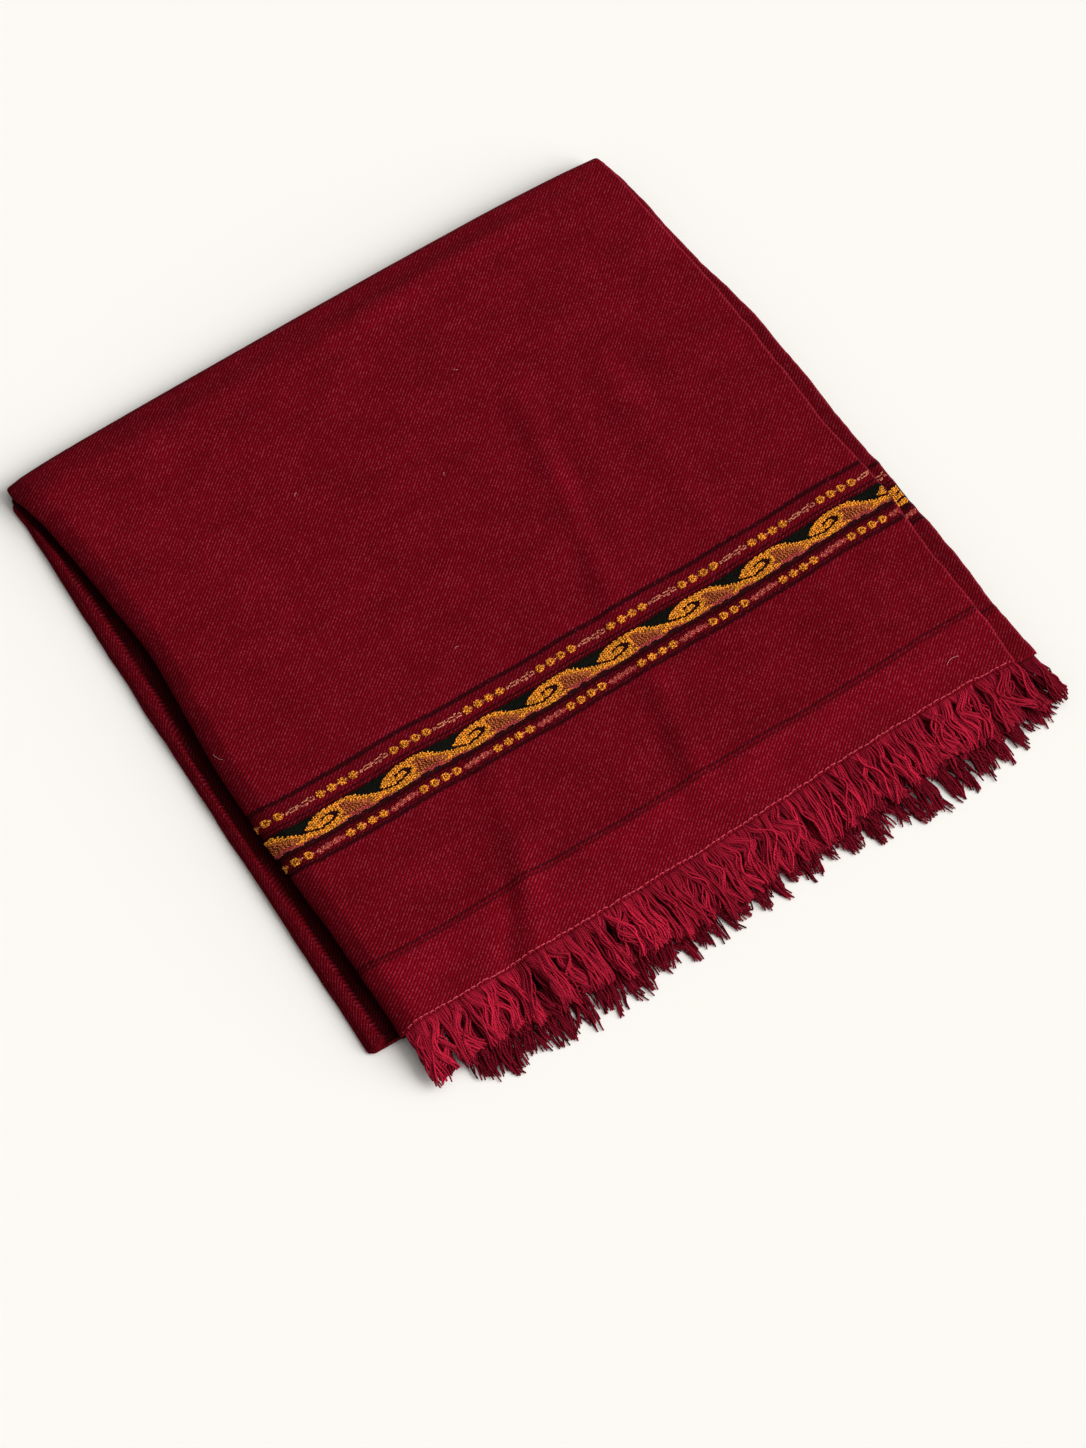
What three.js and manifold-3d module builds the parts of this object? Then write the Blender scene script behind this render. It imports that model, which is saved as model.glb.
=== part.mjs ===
// A fringed wool shawl, folded into a flat pack: in half lengthwise, then twice across.
// Millimetres. +X runs along the fringed hem, +Y to the rounded back fold, +Z up.
// Each piece is laid out from the middle of the top leaf, on a floor at z = 0.

import * as THREE from "three";
import Module from "manifold-3d";

const wasm = await Module();
wasm.setup();

const { clamp, lerp, smoothstep } = THREE.MathUtils;

// ---------------------------------------------------------------- driving dimensions

const wall = 2.0; // the cloth with its nap
const seam_gap = 0.3; // between pieces that meet
const pack_height = 22; // floor to the top layer
const layer_pitch = 2.6; // from one layer of the top leaf to the layer folded under it
const roll_radius = 3.4; // of the left fold, to the middle of the cloth
const roll_run = 46; // how far the roll holds the under layer down
const back_reach = 266; // the back fold's furthest point
const back_bow = 5; // how much its two ends fall short of that
const back_turn = 0.96; // share of a half turn that the top leaf makes round the back

// The top leaf's edges, from the hem to the back fold: the left fold, the selvedge of the
// top layer, and the selvedge of the layer under it.
const leaf_edges = [
  { y: -256, fold: -252.5, top: 256, under: 274 },
  { y: -215, fold: -251, top: 259, under: 272 },
  { y: -155, fold: -250, top: 258.5, under: 273 },
  { y: -90, fold: -249.5, top: 262, under: 272 },
  { y: -20, fold: -248, top: 258, under: 270 },
  { y: 35, fold: -243, top: 258, under: 271 },
  { y: 95, fold: -237.5, top: 257, under: 269 },
  { y: 160, fold: -240, top: 253, under: 262 },
  { y: 215, fold: -243.5, top: 251, under: 259 },
  { y: 262, fold: -252, top: 250, under: 254 },
];

// The fringed hem wavers a little about a straight line.
const hem_line = [
  { x: -252, y: -255 },
  { x: -110, y: -256.5 },
  { x: 0, y: -256 },
  { x: 130, y: -251.5 },
  { x: 220, y: -251.5 },
  { x: 274, y: -256 },
];

// Long soft creases of the top leaf: a ridge where the height is above 0, a trough below 0.
const creases = [
  { from_x: 95, from_y: 150, to_x: 40, to_y: -120, half_width: 16, height: 1.0 },
  { from_x: 36, from_y: -158, to_x: 20, to_y: -215, half_width: 14, height: 0.8 },
  { from_x: 140, from_y: 105, to_x: 153, to_y: -20, half_width: 18, height: 0.6 },
  { from_x: -95, from_y: -145, to_x: -160, to_y: -250, half_width: 15, height: 0.8 },
  { from_x: -20, from_y: 236, to_x: 140, to_y: 232, half_width: 13, height: 0.7 },
  { from_x: -130, from_y: 190, to_x: -70, to_y: 50, half_width: 60, height: -1.0 },
  { from_x: 15, from_y: -165, to_x: 5, to_y: -215, half_width: 16, height: -0.9 },
  { from_x: -150, from_y: -170, to_x: -190, to_y: -220, half_width: 26, height: -0.7 },
];
const crease_end = 1.8; // how long a crease takes to fade at its ends, in half widths

// The leaf dips over its last stretch before the hem, towards the selvedges, and towards the
// left fold. Towards the back fold the creases fade out.
const hem_droop = { depth: 1.2, from_y: -194, to_y: -254 };
const side_droop = { depth: 1.0, from_x: 217, to_x: 262 };
const fold_droop = { depth: 2.4, run: 27 };
const creases_fade = { from_y: 220, to_y: 249 };

// ---------------------------------------------------------------- shared functions

// Reads a column of a table at any place between its rows, along a smooth curve.
function read_table(rows, key, column, place) {
  const last = rows.length - 1;
  let row = 0;
  while (row < last - 1 && place > rows[row + 1][key]) {
    row += 1;
  }
  const before = rows[Math.max(row - 1, 0)];
  const from = rows[row];
  const to = rows[row + 1];
  const after = rows[Math.min(row + 2, last)];
  const span = to[key] - from[key];
  const t = clamp((place - from[key]) / span, 0, 1);
  const slope_from = ((to[column] - before[column]) / (to[key] - before[key])) * span;
  const slope_to = ((after[column] - from[column]) / (after[key] - from[key])) * span;
  const ease = t * t * (3 - 2 * t);
  const leave = t * (1 - t) * (1 - t) * slope_from;
  const arrive = t * t * (1 - t) * slope_to;
  return lerp(from[column], to[column], ease) + leave - arrive;
}

// A repeatable number from -1 to 1 for each count.
function uneven(count, salt) {
  const wave = Math.sin(count * 12.9898 + salt * 78.233) * 43758.5453;
  return 2 * (wave - Math.floor(wave)) - 1;
}

// How far the cloth of the top leaf lies above or below its flat height.
function relief(x, y) {
  let height = -hem_droop.depth * smoothstep(-y, -hem_droop.from_y, -hem_droop.to_y);
  height -= side_droop.depth * smoothstep(x, side_droop.from_x, side_droop.to_x);
  const from_fold = x - read_table(leaf_edges, "y", "fold", y);
  height -= fold_droop.depth * (1 - smoothstep(from_fold, 0, fold_droop.run));
  for (const crease of creases) {
    const run_x = crease.to_x - crease.from_x;
    const run_y = crease.to_y - crease.from_y;
    const run = Math.hypot(run_x, run_y);
    const along = ((x - crease.from_x) * run_x + (y - crease.from_y) * run_y) / (run * run);
    const beyond = (along - clamp(along, 0, 1)) * run;
    const aside = ((x - crease.from_x) * run_y - (y - crease.from_y) * run_x) / run;
    const across = aside / crease.half_width;
    const past = beyond / (crease.half_width * crease_end);
    height += crease.height * Math.exp(-across * across - past * past);
  }
  return height * (1 - smoothstep(y, creases_fade.from_y, creases_fade.to_y));
}

function geometry_from(points, triangles) {
  const geometry = new THREE.BufferGeometry();
  geometry.setAttribute("position", new THREE.Float32BufferAttribute(points, 3));
  geometry.setIndex(triangles);
  return geometry;
}

function to_solid(geometry) {
  const mesh = new wasm.Mesh({
    numProp: 3,
    vertProperties: new Float32Array(geometry.attributes.position.array),
    triVerts: new Uint32Array(geometry.index.array),
  });
  return new wasm.Manifold(mesh);
}

function from_solid(solid) {
  const mesh = solid.getMesh();
  return geometry_from(Array.from(mesh.vertProperties), Array.from(mesh.triVerts));
}

// ---------------------------------------------------------------- upper leaf

// One wall of cloth, bent into a hairpin: the top layer, the roll at the left fold and the
// layer folded back under it. The hairpin runs from the hem to the back and turns down
// there round the rest of the pack.

const wrap_radius = (pack_height - wall) / 2;
const wrap_height = pack_height / 2;
const back_half_length = 250;
const corner_inset = 2.5; // the leaf narrows by this much at each side round the back
const roll_closes = { from_y: 190, to_y: 252 }; // where the roll flattens towards the back
const top_columns = 22;
const roll_columns = 6;
const under_columns = 10;
const straight_rows = 20;
const wrap_rows = 8;

function hem_at(x) {
  return read_table(hem_line, "x", "y", x);
}

function back_centre_at(x) {
  return back_reach - wrap_radius - wall / 2 - back_bow * (x / back_half_length) ** 4;
}

// How far the under layer lies below the top one, at a distance from the roll.
function under_drop(roll, from_roll) {
  return lerp(2 * roll, layer_pitch, smoothstep(from_roll, 0, roll_run));
}

// The middle of the cloth. across runs 0 to 1 over the top layer, to 2 round the roll and
// to 3 over the under layer. along runs 0 to 1 from hem to back, and to 2 round the back.
function leaf_middle(across, along) {
  const straight = Math.min(along, 1);
  const y_near = lerp(hem_line[0].y, back_reach - wrap_radius, straight);
  const turn = Math.max(along - 1, 0) * Math.PI * back_turn;
  const corner = corner_inset * Math.sin(turn / 2) ** 2;
  const top = read_table(leaf_edges, "y", "top", y_near) - corner;
  const under = read_table(leaf_edges, "y", "under", y_near) - corner;
  const fold = read_table(leaf_edges, "y", "fold", y_near) + wall / 2 + corner;
  const closing = smoothstep(y_near, roll_closes.from_y, roll_closes.to_y);
  const roll = lerp(roll_radius, layer_pitch / 2, closing);

  let x = lerp(top, fold + roll, clamp(across, 0, 1));
  let drop = 0;
  if (across > 1) {
    const bend = Math.PI * Math.min(across - 1, 1);
    x = fold + roll - roll * Math.sin(bend);
    drop = roll * (1 - Math.cos(bend));
  }
  if (across > 2) {
    x = lerp(fold + roll, under, across - 2);
    drop = under_drop(roll, x - fold - roll);
  }

  const y = lerp(hem_at(x), back_centre_at(x), straight);
  const reach = wrap_radius - drop;
  return new THREE.Vector3(
    x,
    y + reach * Math.sin(turn),
    wrap_height + reach * Math.cos(turn) + relief(x, y),
  );
}

function leaf_normal(across, along) {
  const step = 1e-3;
  const side = leaf_middle(across + step, along).sub(leaf_middle(across - step, along));
  const way = leaf_middle(across, along + step).sub(leaf_middle(across, along - step));
  return way.cross(side).normalize();
}

function steps(from, to, count) {
  return Array.from({ length: count }, (_, step) => lerp(from, to, step / count));
}

function make_upper_leaf() {
  const columns = [
    ...steps(0, 1, top_columns),
    ...steps(1, 2, roll_columns),
    ...steps(2, 3, under_columns),
    3,
  ];
  const rows = [...steps(0, 1, straight_rows), ...steps(1, 2, wrap_rows), 2];
  const points = [];
  for (const face of [wall / 2, -wall / 2]) {
    for (const across of columns) {
      for (const along of rows) {
        const point = leaf_middle(across, along);
        point.addScaledVector(leaf_normal(across, along), face);
        points.push(point.x, point.y, point.z);
      }
    }
  }

  const inner = columns.length * rows.length;
  const at = (column, row, face) => column * rows.length + row + (face ? inner : 0);
  const triangles = [];
  const quad = (a, b, c, d) => triangles.push(a, b, c, a, c, d);
  for (let column = 0; column < columns.length - 1; column += 1) {
    for (let row = 0; row < rows.length - 1; row += 1) {
      const [next, ahead] = [column + 1, row + 1];
      quad(at(column, row), at(column, ahead), at(next, ahead), at(next, row));
      quad(at(column, row, 1), at(next, row, 1), at(next, ahead, 1), at(column, ahead, 1));
    }
  }
  for (let column = 0; column < columns.length - 1; column += 1) {
    const next = column + 1;
    const end = rows.length - 1;
    quad(at(column, 0), at(next, 0), at(next, 0, 1), at(column, 0, 1));
    quad(at(column, end), at(column, end, 1), at(next, end, 1), at(next, end));
  }
  for (let row = 0; row < rows.length - 1; row += 1) {
    const ahead = row + 1;
    const end = columns.length - 1;
    quad(at(0, row), at(0, row, 1), at(0, ahead, 1), at(0, ahead));
    quad(at(end, row), at(end, ahead), at(end, ahead, 1), at(end, row, 1));
  }
  return geometry_from(points, triangles);
}

// ---------------------------------------------------------------- lower folds

// The three hidden leaves in one solid. The bottom two are joined by a plain fold at the
// front, which spreads further to the left towards the front than the top leaf does. The
// third ends in a hem just behind the top one. Each row is a ring round the solid, and says
// how far it lies inside the outline on each side.

const lower_left = { back: -250, spread: 26, power: 0.8 };
const lower_right = { back: 250, spread: 16, power: 0.5 };
const lower_front = { y: -253.5, waver: 1.2, wave: 52 };
const nose_radius = wrap_radius - layer_pitch - wall / 2 - 2 * seam_gap;
const nose_foot = 0.1; // how far the foot on the floor stands out past the nose's centre
const nose_foot_top = 4.9;

const lower_rings = [
  { z: 0.0, left: 1.8, front: 3.5, right: 1.6 },
  { z: 0.9, left: 0.4, front: 1.4, right: 0.4 },
  { z: 2.4, left: 0.0, front: 0.2, right: 0.0 },
  { z: 3.9, left: 0.9, front: 0.0, right: 1.7 },
  { z: 4.8, left: 1.6, front: 0.0, right: 0.6 },
  { z: 5.3, left: 2.4, front: 0.1, right: 0.2 },
  { z: 6.1, left: 1.9, front: 0.3, right: 3.8 },
  { z: 7.2, left: 3.0, front: 1.0, right: 3.2 },
  { z: 8.4, left: 6.0, front: 2.6, right: 4.6 },
  { z: 9.0, left: 14.0, front: 5.0, right: 3.0 },
  { z: 9.5, left: 27.0, front: 5.2, right: 5.2 },
  { z: 10.3, left: 42.0, front: 1.5, right: 5.0 },
  { z: 11.4, left: 50.0, front: 0.8, right: 4.4 },
  { z: 12.3, left: 58.0, front: 1.3, right: 6.4 },
  { z: 13.2, left: 66.0, front: 0.8, right: 6.0 },
  { z: 14.3, left: 78.0, front: 2.4, right: 8.4 },
  { z: 15.2, left: 92.0, front: 9.0, right: 14.0 },
];

const side_points = 14;
const front_points = 20;
const corner_points = 3;
const corner_share = 0.03;

function lower_front_at(x) {
  return lower_front.y + lower_front.waver * Math.sin(x / lower_front.wave + 1);
}

// The back follows the inside of the top leaf's turn, down to a foot on the floor.
function lower_back_at(x, z) {
  const rise = z - wrap_height;
  const nose = Math.sqrt(Math.max(nose_radius ** 2 - rise ** 2, 0));
  return back_centre_at(x) + (z < nose_foot_top ? nose_foot : nose);
}

// Points round a square from -1 to 1 with rounded corners, anticlockwise from above.
function rounded_square() {
  const straight = 1 - corner_share;
  const outline = [];
  for (let side = 0; side < 4; side += 1) {
    const count = side % 2 === 0 ? front_points : side_points;
    const flat = steps(-straight, straight, count).map((place) => [place, -1]);
    const bend = steps(0, Math.PI / 2, corner_points).map((turn) => [
      straight + corner_share * Math.sin(turn),
      -straight - corner_share * Math.cos(turn),
    ]);
    const turn = (side * Math.PI) / 2;
    for (const [u, v] of [...flat, ...bend]) {
      outline.push([
        u * Math.cos(turn) - v * Math.sin(turn),
        u * Math.sin(turn) + v * Math.cos(turn),
      ]);
    }
  }
  return outline;
}

function lower_point([u, v], ring) {
  const front = lower_front_at(u * -lower_front.y) + ring.front;
  const back = lower_back_at(u * back_half_length, ring.z);
  const y = lerp(front, back, (v + 1) / 2);
  const forward = clamp((back_reach - y) / (back_reach - hem_line[0].y), 0, 1);
  const left = lower_left.back - lower_left.spread * forward ** lower_left.power + ring.left;
  const right = lower_right.back + lower_right.spread * forward ** lower_right.power - ring.right;
  return [lerp(left, right, (u + 1) / 2), y, ring.z];
}

function make_lower_folds() {
  const outline = rounded_square();
  const count = outline.length;
  const points = lower_rings.flatMap((ring) => outline.flatMap((place) => lower_point(place, ring)));
  const triangles = [];
  for (let ring = 0; ring < lower_rings.length - 1; ring += 1) {
    for (let place = 0; place < count; place += 1) {
      const next = (place + 1) % count;
      const [a, b] = [ring * count + place, ring * count + next];
      triangles.push(a, b, b + count, a, b + count, a + count);
    }
  }
  const top_ring = (lower_rings.length - 1) * count;
  const flat_at = (ring) => outline.map((place) => {
    const [x, y] = lower_point(place, ring);
    return new THREE.Vector2(x, y);
  });
  const bottom_cap = THREE.ShapeUtils.triangulateShape(flat_at(lower_rings[0]), []);
  const top_cap = THREE.ShapeUtils.triangulateShape(flat_at(lower_rings.at(-1)), []);
  for (const [a, b, c] of bottom_cap) {
    triangles.push(c, b, a);
  }
  for (const [a, b, c] of top_cap) {
    triangles.push(top_ring + a, top_ring + b, top_ring + c);
  }
  return geometry_from(points, triangles);
}

// ---------------------------------------------------------------- fringes

// The warp is left long past each hem and gathers into uneven locks. The locks of one layer
// grow from a strip as thick as the cloth, which lies against that layer's hem.

const strip_width = 2.8;
const strip_span = 18;
const lock_steps = 4;
const lock_tip = 0.38; // width of the tip against the root's
const lock_sway = 2.2; // neighbours sway together, in long waves along the hem
const lock_wave = 23;
const lock_stray = 0.25; // and each strays by up to this share of the pitch

// Each fringe: the line and height of the hem that its strip lies against, the strip's ends,
// and how its locks reach out, fall, spread at the ends and vary.
const top_hem_z = (x) => pack_height - wall / 2 + relief(x, hem_at(x));
const roll_end = leaf_edges[0].fold + wall / 2 + roll_radius;

const fringes = {
  upper_fringe: {
    hem_y: (x) => hem_at(x) - 0.15,
    hem_z: top_hem_z,
    left: -249, right: 255.5, thickness: 1.7,
    locks: 80, sides: 4, half_width: 2.6, half_depth: 0.85,
    reach: 40, reach_varies: 4, tip_z: 7.8, tip_varies: 0.8, fall: 1.7, fan: 7,
  },
  return_fringe: {
    hem_y: (x) => hem_at(x) - 0.35,
    hem_z: (x) => top_hem_z(x) - under_drop(roll_radius, x - roll_end),
    left: -243, right: 273, thickness: 1.7,
    locks: 48, sides: 3, half_width: 3.7, half_depth: 0.8,
    reach: 35, reach_varies: 4, tip_z: 6.0, tip_varies: 0.4, fall: 1.1, fan: 9,
  },
  lower_fringe: {
    hem_y: (x) => lower_front_at(x) + 0.1,
    hem_z: () => 12.3,
    left: -214, right: 260, thickness: 1.8,
    locks: 70, sides: 3, half_width: 2.7, half_depth: 0.8,
    reach: 57, reach_varies: 7, tip_z: 2.0, tip_varies: 0.3, fall: 0.36, fan: 9,
  },
};

// A closed bar along the hem.
function make_strip(fringe) {
  const count = Math.ceil((fringe.right - fringe.left) / strip_span);
  const points = [];
  for (let step = 0; step <= count; step += 1) {
    const x = lerp(fringe.left, fringe.right, step / count);
    const near = fringe.hem_y(x) - seam_gap;
    const middle = fringe.hem_z(x);
    const half = fringe.thickness / 2;
    points.push(x, near, middle - half, x, near - strip_width, middle - half);
    points.push(x, near - strip_width, middle + half, x, near, middle + half);
  }
  const triangles = [];
  for (let step = 0; step < count; step += 1) {
    for (let corner = 0; corner < 4; corner += 1) {
      const next = (corner + 1) % 4;
      const [a, b] = [step * 4 + corner, step * 4 + next];
      triangles.push(a, a + 4, b + 4, a, b + 4, b);
    }
  }
  const end = count * 4;
  triangles.push(0, 1, 2, 0, 2, 3, end, end + 2, end + 1, end, end + 3, end + 2);
  return to_solid(geometry_from(points, triangles));
}

// One lock: it leaves the strip level, falls and wanders a little, and thins to its tip.
function make_lock(fringe, number) {
  const pitch = (fringe.right - fringe.left) / fringe.locks;
  const root_x = fringe.left + pitch * (number + 0.5);
  const root_y = fringe.hem_y(root_x) - seam_gap - strip_width / 2;
  const root_z = fringe.hem_z(root_x);
  const reach = fringe.reach + fringe.reach_varies * uneven(number, 1);
  const tip_z = fringe.tip_z + fringe.tip_varies * uneven(number, 2);
  const spread = fringe.fan * (root_x / fringe.right) ** 5;
  const wander = lock_sway * Math.sin(root_x / lock_wave) + lock_stray * pitch * uneven(number, 3);
  const points = [];
  for (let step = 0; step <= lock_steps; step += 1) {
    const t = step / lock_steps;
    const thin = 1 - (1 - lock_tip) * t ** 3;
    const centre = [
      root_x + (spread + wander) * t * t,
      root_y - reach * t,
      lerp(root_z, tip_z, ((t * reach) / fringe.reach) ** fringe.fall),
    ];
    for (let corner = 0; corner < fringe.sides; corner += 1) {
      const turn = Math.PI / 2 + (corner * 2 * Math.PI) / fringe.sides;
      points.push(
        centre[0] + fringe.half_width * thin * Math.cos(turn),
        centre[1],
        centre[2] + fringe.half_depth * thin * Math.sin(turn),
      );
    }
  }
  const triangles = [];
  for (let step = 0; step < lock_steps; step += 1) {
    for (let corner = 0; corner < fringe.sides; corner += 1) {
      const next = (corner + 1) % fringe.sides;
      const [a, b] = [step * fringe.sides + corner, step * fringe.sides + next];
      triangles.push(a, b, b + fringe.sides, a, b + fringe.sides, a + fringe.sides);
    }
  }
  const tip = lock_steps * fringe.sides;
  for (let corner = 1; corner < fringe.sides - 1; corner += 1) {
    triangles.push(0, corner + 1, corner, tip, tip + corner, tip + corner + 1);
  }
  return to_solid(geometry_from(points, triangles));
}

function make_fringe(fringe) {
  let solid = make_strip(fringe);
  for (let number = 0; number < fringe.locks; number += 1) {
    solid = solid.add(make_lock(fringe, number));
  }
  return from_solid(solid);
}

// ---------------------------------------------------------------- materials and the pack

function wool(colour) {
  return new THREE.MeshStandardMaterial({ color: colour, roughness: 0.92, metalness: 0 });
}

const shawl = new THREE.Group();

function add_piece(name, geometry, material) {
  geometry.computeVertexNormals();
  const mesh = new THREE.Mesh(geometry, material);
  mesh.name = name;
  shawl.add(mesh);
}

add_piece("upper_leaf", make_upper_leaf(), wool("#6b0e1a"));
add_piece("lower_folds", make_lower_folds(), wool("#5e0c17"));
add_piece("upper_fringe", make_fringe(fringes.upper_fringe), wool("#7b1023"));
add_piece("return_fringe", make_fringe(fringes.return_fringe), wool("#6f0e1f"));
add_piece("lower_fringe", make_fringe(fringes.lower_fringe), wool("#5f0c19"));

// The origin is the middle of the pack's footprint, on the floor.
const box = new THREE.Box3().setFromObject(shawl);
const middle = box.getCenter(new THREE.Vector3());
shawl.position.set(-middle.x, -middle.y, -box.min.z);

export default shawl;
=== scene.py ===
"""A fringed wool shawl with a woven border, folded into a flat pack on a pale floor."""

import math
from functools import partialmethod

import bpy
import numpy as np
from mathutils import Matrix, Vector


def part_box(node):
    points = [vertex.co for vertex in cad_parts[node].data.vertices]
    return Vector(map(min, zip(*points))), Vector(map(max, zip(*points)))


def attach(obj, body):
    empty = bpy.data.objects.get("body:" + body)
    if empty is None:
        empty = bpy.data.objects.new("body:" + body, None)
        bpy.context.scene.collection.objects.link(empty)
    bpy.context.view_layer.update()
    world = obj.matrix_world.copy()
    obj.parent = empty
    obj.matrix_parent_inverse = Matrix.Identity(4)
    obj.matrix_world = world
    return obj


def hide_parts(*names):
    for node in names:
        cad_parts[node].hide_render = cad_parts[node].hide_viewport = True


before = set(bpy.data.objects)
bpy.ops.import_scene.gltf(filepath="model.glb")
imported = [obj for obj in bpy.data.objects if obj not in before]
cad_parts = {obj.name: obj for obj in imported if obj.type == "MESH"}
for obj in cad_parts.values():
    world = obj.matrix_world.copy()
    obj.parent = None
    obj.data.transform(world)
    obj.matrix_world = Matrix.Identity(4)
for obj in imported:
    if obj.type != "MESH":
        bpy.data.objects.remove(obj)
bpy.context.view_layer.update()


# ---------------- Top leaf
# The length of twill that shows: from the right selvedge over the left roll, back under
# itself to the second selvedge, and down round the back fold. It is one layer of woven wool
# with a soft nap, held in its folds by its own weight.

mm = 0.001  # every size below is in millimetres, from the middle of the pack's foot
leaf_low, leaf_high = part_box("upper_leaf")
left_most, back_most = -252.46, 265.98  # of the leaf, from the middle of its top
middle = np.array([leaf_low[0] / mm - left_most, leaf_high[1] / mm - back_most, 0.0])

solid_wall = 2.0  # thickness of the cloth in the solid
cloth_wall = 1.5  # and here
pack_height = 22.0
layer_pitch = 2.6
roll_radius = 3.4
roll_run = 46.0  # how far the two layers take to close up beside the roll
roll_closes = (190.0, 252.0)  # where the roll itself closes up, towards the back
wrap_radius = (pack_height - solid_wall) / 2
wrap_height = pack_height / 2
back_reach, back_bow, back_half_length = 266.0, 5.0, 250.0
back_turn = 0.96  # how much of a half turn the cloth makes round the back
corner_inset = 2.5

leaf_edges = {
    "y": (-256, -215, -155, -90, -20, 35, 95, 160, 215, 262),
    "fold": (-252.5, -251, -250, -249.5, -248, -243, -237.5, -240, -243.5, -252),
    "top": (256, 259, 258.5, 262, 258, 259, 259.5, 257, 255, 252),
    "under": (274, 272, 273, 272, 270, 271, 269, 262, 259, 254),
}
hem_line = {
    "x": (-252, -110, 0, 130, 220, 274),
    "y": (-255, -256.5, -256, -251.5, -251.5, -256),
}

# Each crease: from x, from y, to x, to y, half width, height. The solid has the first eight in a
# plainer form.
creases = (
    (86, 110, 54, -55, 10, 1.9),
    (39, -128, 24, -200, 10, 2.0),
    (152, 95, 143, -40, 12, 1.5),
    (-98, -140, -122, -205, 11, 1.8),
    (-10, 231, 160, 240, 8, 3.0),
    (-130, 190, -70, 50, 60, -2.2),
    (20, -150, 4, -212, 13, -1.4),
    (-150, -170, -190, -220, 26, -2.2),
    (78, 60, 44, -70, 7, 0.6),
    (108, 120, 74, 10, 13, -1.3),
    (36, -30, 22, -85, 12, -1.0),
    (172, 95, 170, -40, 14, -0.9),
    (-112, -190, -146, -262, 9, 1.6),
    (-134, -205, -170, -262, 8, -2.4),
    (-15, 180, 120, 196, 16, -0.8),
    (-190, 120, -150, -40, 30, 1.2),
    (-30, 120, -60, -20, 24, 0.9),
    (-20, -190, -34, -250, 16, 1.0),
    (190, -120, 176, -200, 16, 0.9),
)
crease_end = 1.8  # how long a crease takes to fade at its ends, in half widths

# How far the cloth sinks towards its edges: the depth, and where the slope starts and ends across
# the pack and up it. The roll's shoulder is lower, and less so at the back.
everywhere = (-2000, -1000)
droops = (
    (1.2, everywhere, (-194, -254)),  # the hem
    (1.0, (217, 262), everywhere),  # the selvedge
    (0.8, (217, 262), (100, 200)),  # more of it near the back
    (4.6, everywhere, (237, 260)),  # the back edge
    (1.5, (60, -110), (200, 256)),  # more of it at the left
)
shoulder_drop, shoulder_start, shoulder_run, shoulder_power = 7.2, -1.0, 13.5, 1.1
shoulder_less, shoulder_less_slope = 0.4, (190, 250)
shoulder_tail, shoulder_tail_run = 1.4, 34

# Uneven hills: the height, size and seed of each.
leaf_hills = ((0.35, 33, 11), (0.13, 14, 12))
fold_hills = ((0.35, 17, 3),)
top_edge_hills = ((0.5, 11, 4), (0.3, 5, 5))
under_edge_hills = ((0.6, 13, 6), (0.3, 5, 7))


def smooth_read(table, place, column):
    """A column of a short table at any place, along a smooth curve through its rows."""
    at = np.asarray(next(iter(table.values())), float)
    value = np.asarray(table[column], float)
    place = np.clip(place, at[0], at[-1])
    row = np.clip(np.searchsorted(at, place, side="right") - 1, 0, len(at) - 2)
    before, after = np.maximum(row - 1, 0), np.minimum(row + 2, len(at) - 1)
    span = at[row + 1] - at[row]
    t = (place - at[row]) / span
    leave = (value[row + 1] - value[before]) / (at[row + 1] - at[before]) * span
    arrive = (value[after] - value[row]) / (at[after] - at[row]) * span
    eased = t * t * (3 - 2 * t)
    straight = value[row] + (value[row + 1] - value[row]) * eased
    return straight + t * (1 - t) ** 2 * leave - t * t * (1 - t) * arrive


def ease(value, start, end):
    """0 before start and 1 past end, with a soft change between them."""
    t = np.clip((value - start) / (end - start), 0, 1)
    return t * t * (3 - 2 * t)


def blend(start, end, share):
    return start + (end - start) * share


def uneven(x, y, size, seed):
    """Soft hills and hollows from -1 to 1, each about one size across."""
    count = 97  # of the lattice's points along each side, past which it repeats
    lattice = np.random.default_rng(seed).uniform(-1, 1, (count, count))
    x, y = np.asarray(x, float) / size, np.asarray(y, float) / size
    column, row = np.floor(x).astype(int), np.floor(y).astype(int)
    a, b = x - column, y - row
    a, b = a * a * (3 - 2 * a), b * b * (3 - 2 * b)

    def corner(right, up):
        return lattice[(column + right) % count, (row + up) % count]

    near = blend(corner(0, 0), corner(1, 0), a)
    return blend(near, blend(corner(0, 1), corner(1, 1), a), b)


def hills(x, y, table):
    """The sum of some uneven hills."""
    return sum(height * uneven(x, y, size, seed) for height, size, seed in table)


def bell(value, centre, half_width):
    """1 at the centre, falling softly to either side of it."""
    return np.exp(-(((value - centre) / half_width) ** 2))


def hem_at(x):
    return smooth_read(hem_line, x, "y")


def back_at(x):
    return back_reach - wrap_radius - solid_wall / 2 - back_bow * (x / back_half_length) ** 4


def fold_at(y):
    return smooth_read(leaf_edges, y, "fold") + solid_wall / 2 + hills(y, 0, fold_hills)


def top_edge_at(y):
    return smooth_read(leaf_edges, y, "top") + hills(y, 0, top_edge_hills)


def under_edge_at(y):
    return smooth_read(leaf_edges, y, "under") + hills(y, 0, under_edge_hills)


def flat_y(straight):
    """How far up the pack a share of the cloth's straight run lies."""
    return blend(hem_line["y"][0], back_reach - wrap_radius, straight)


def roll_at(y):
    return blend(roll_radius, layer_pitch / 2, ease(y, *roll_closes))


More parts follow.
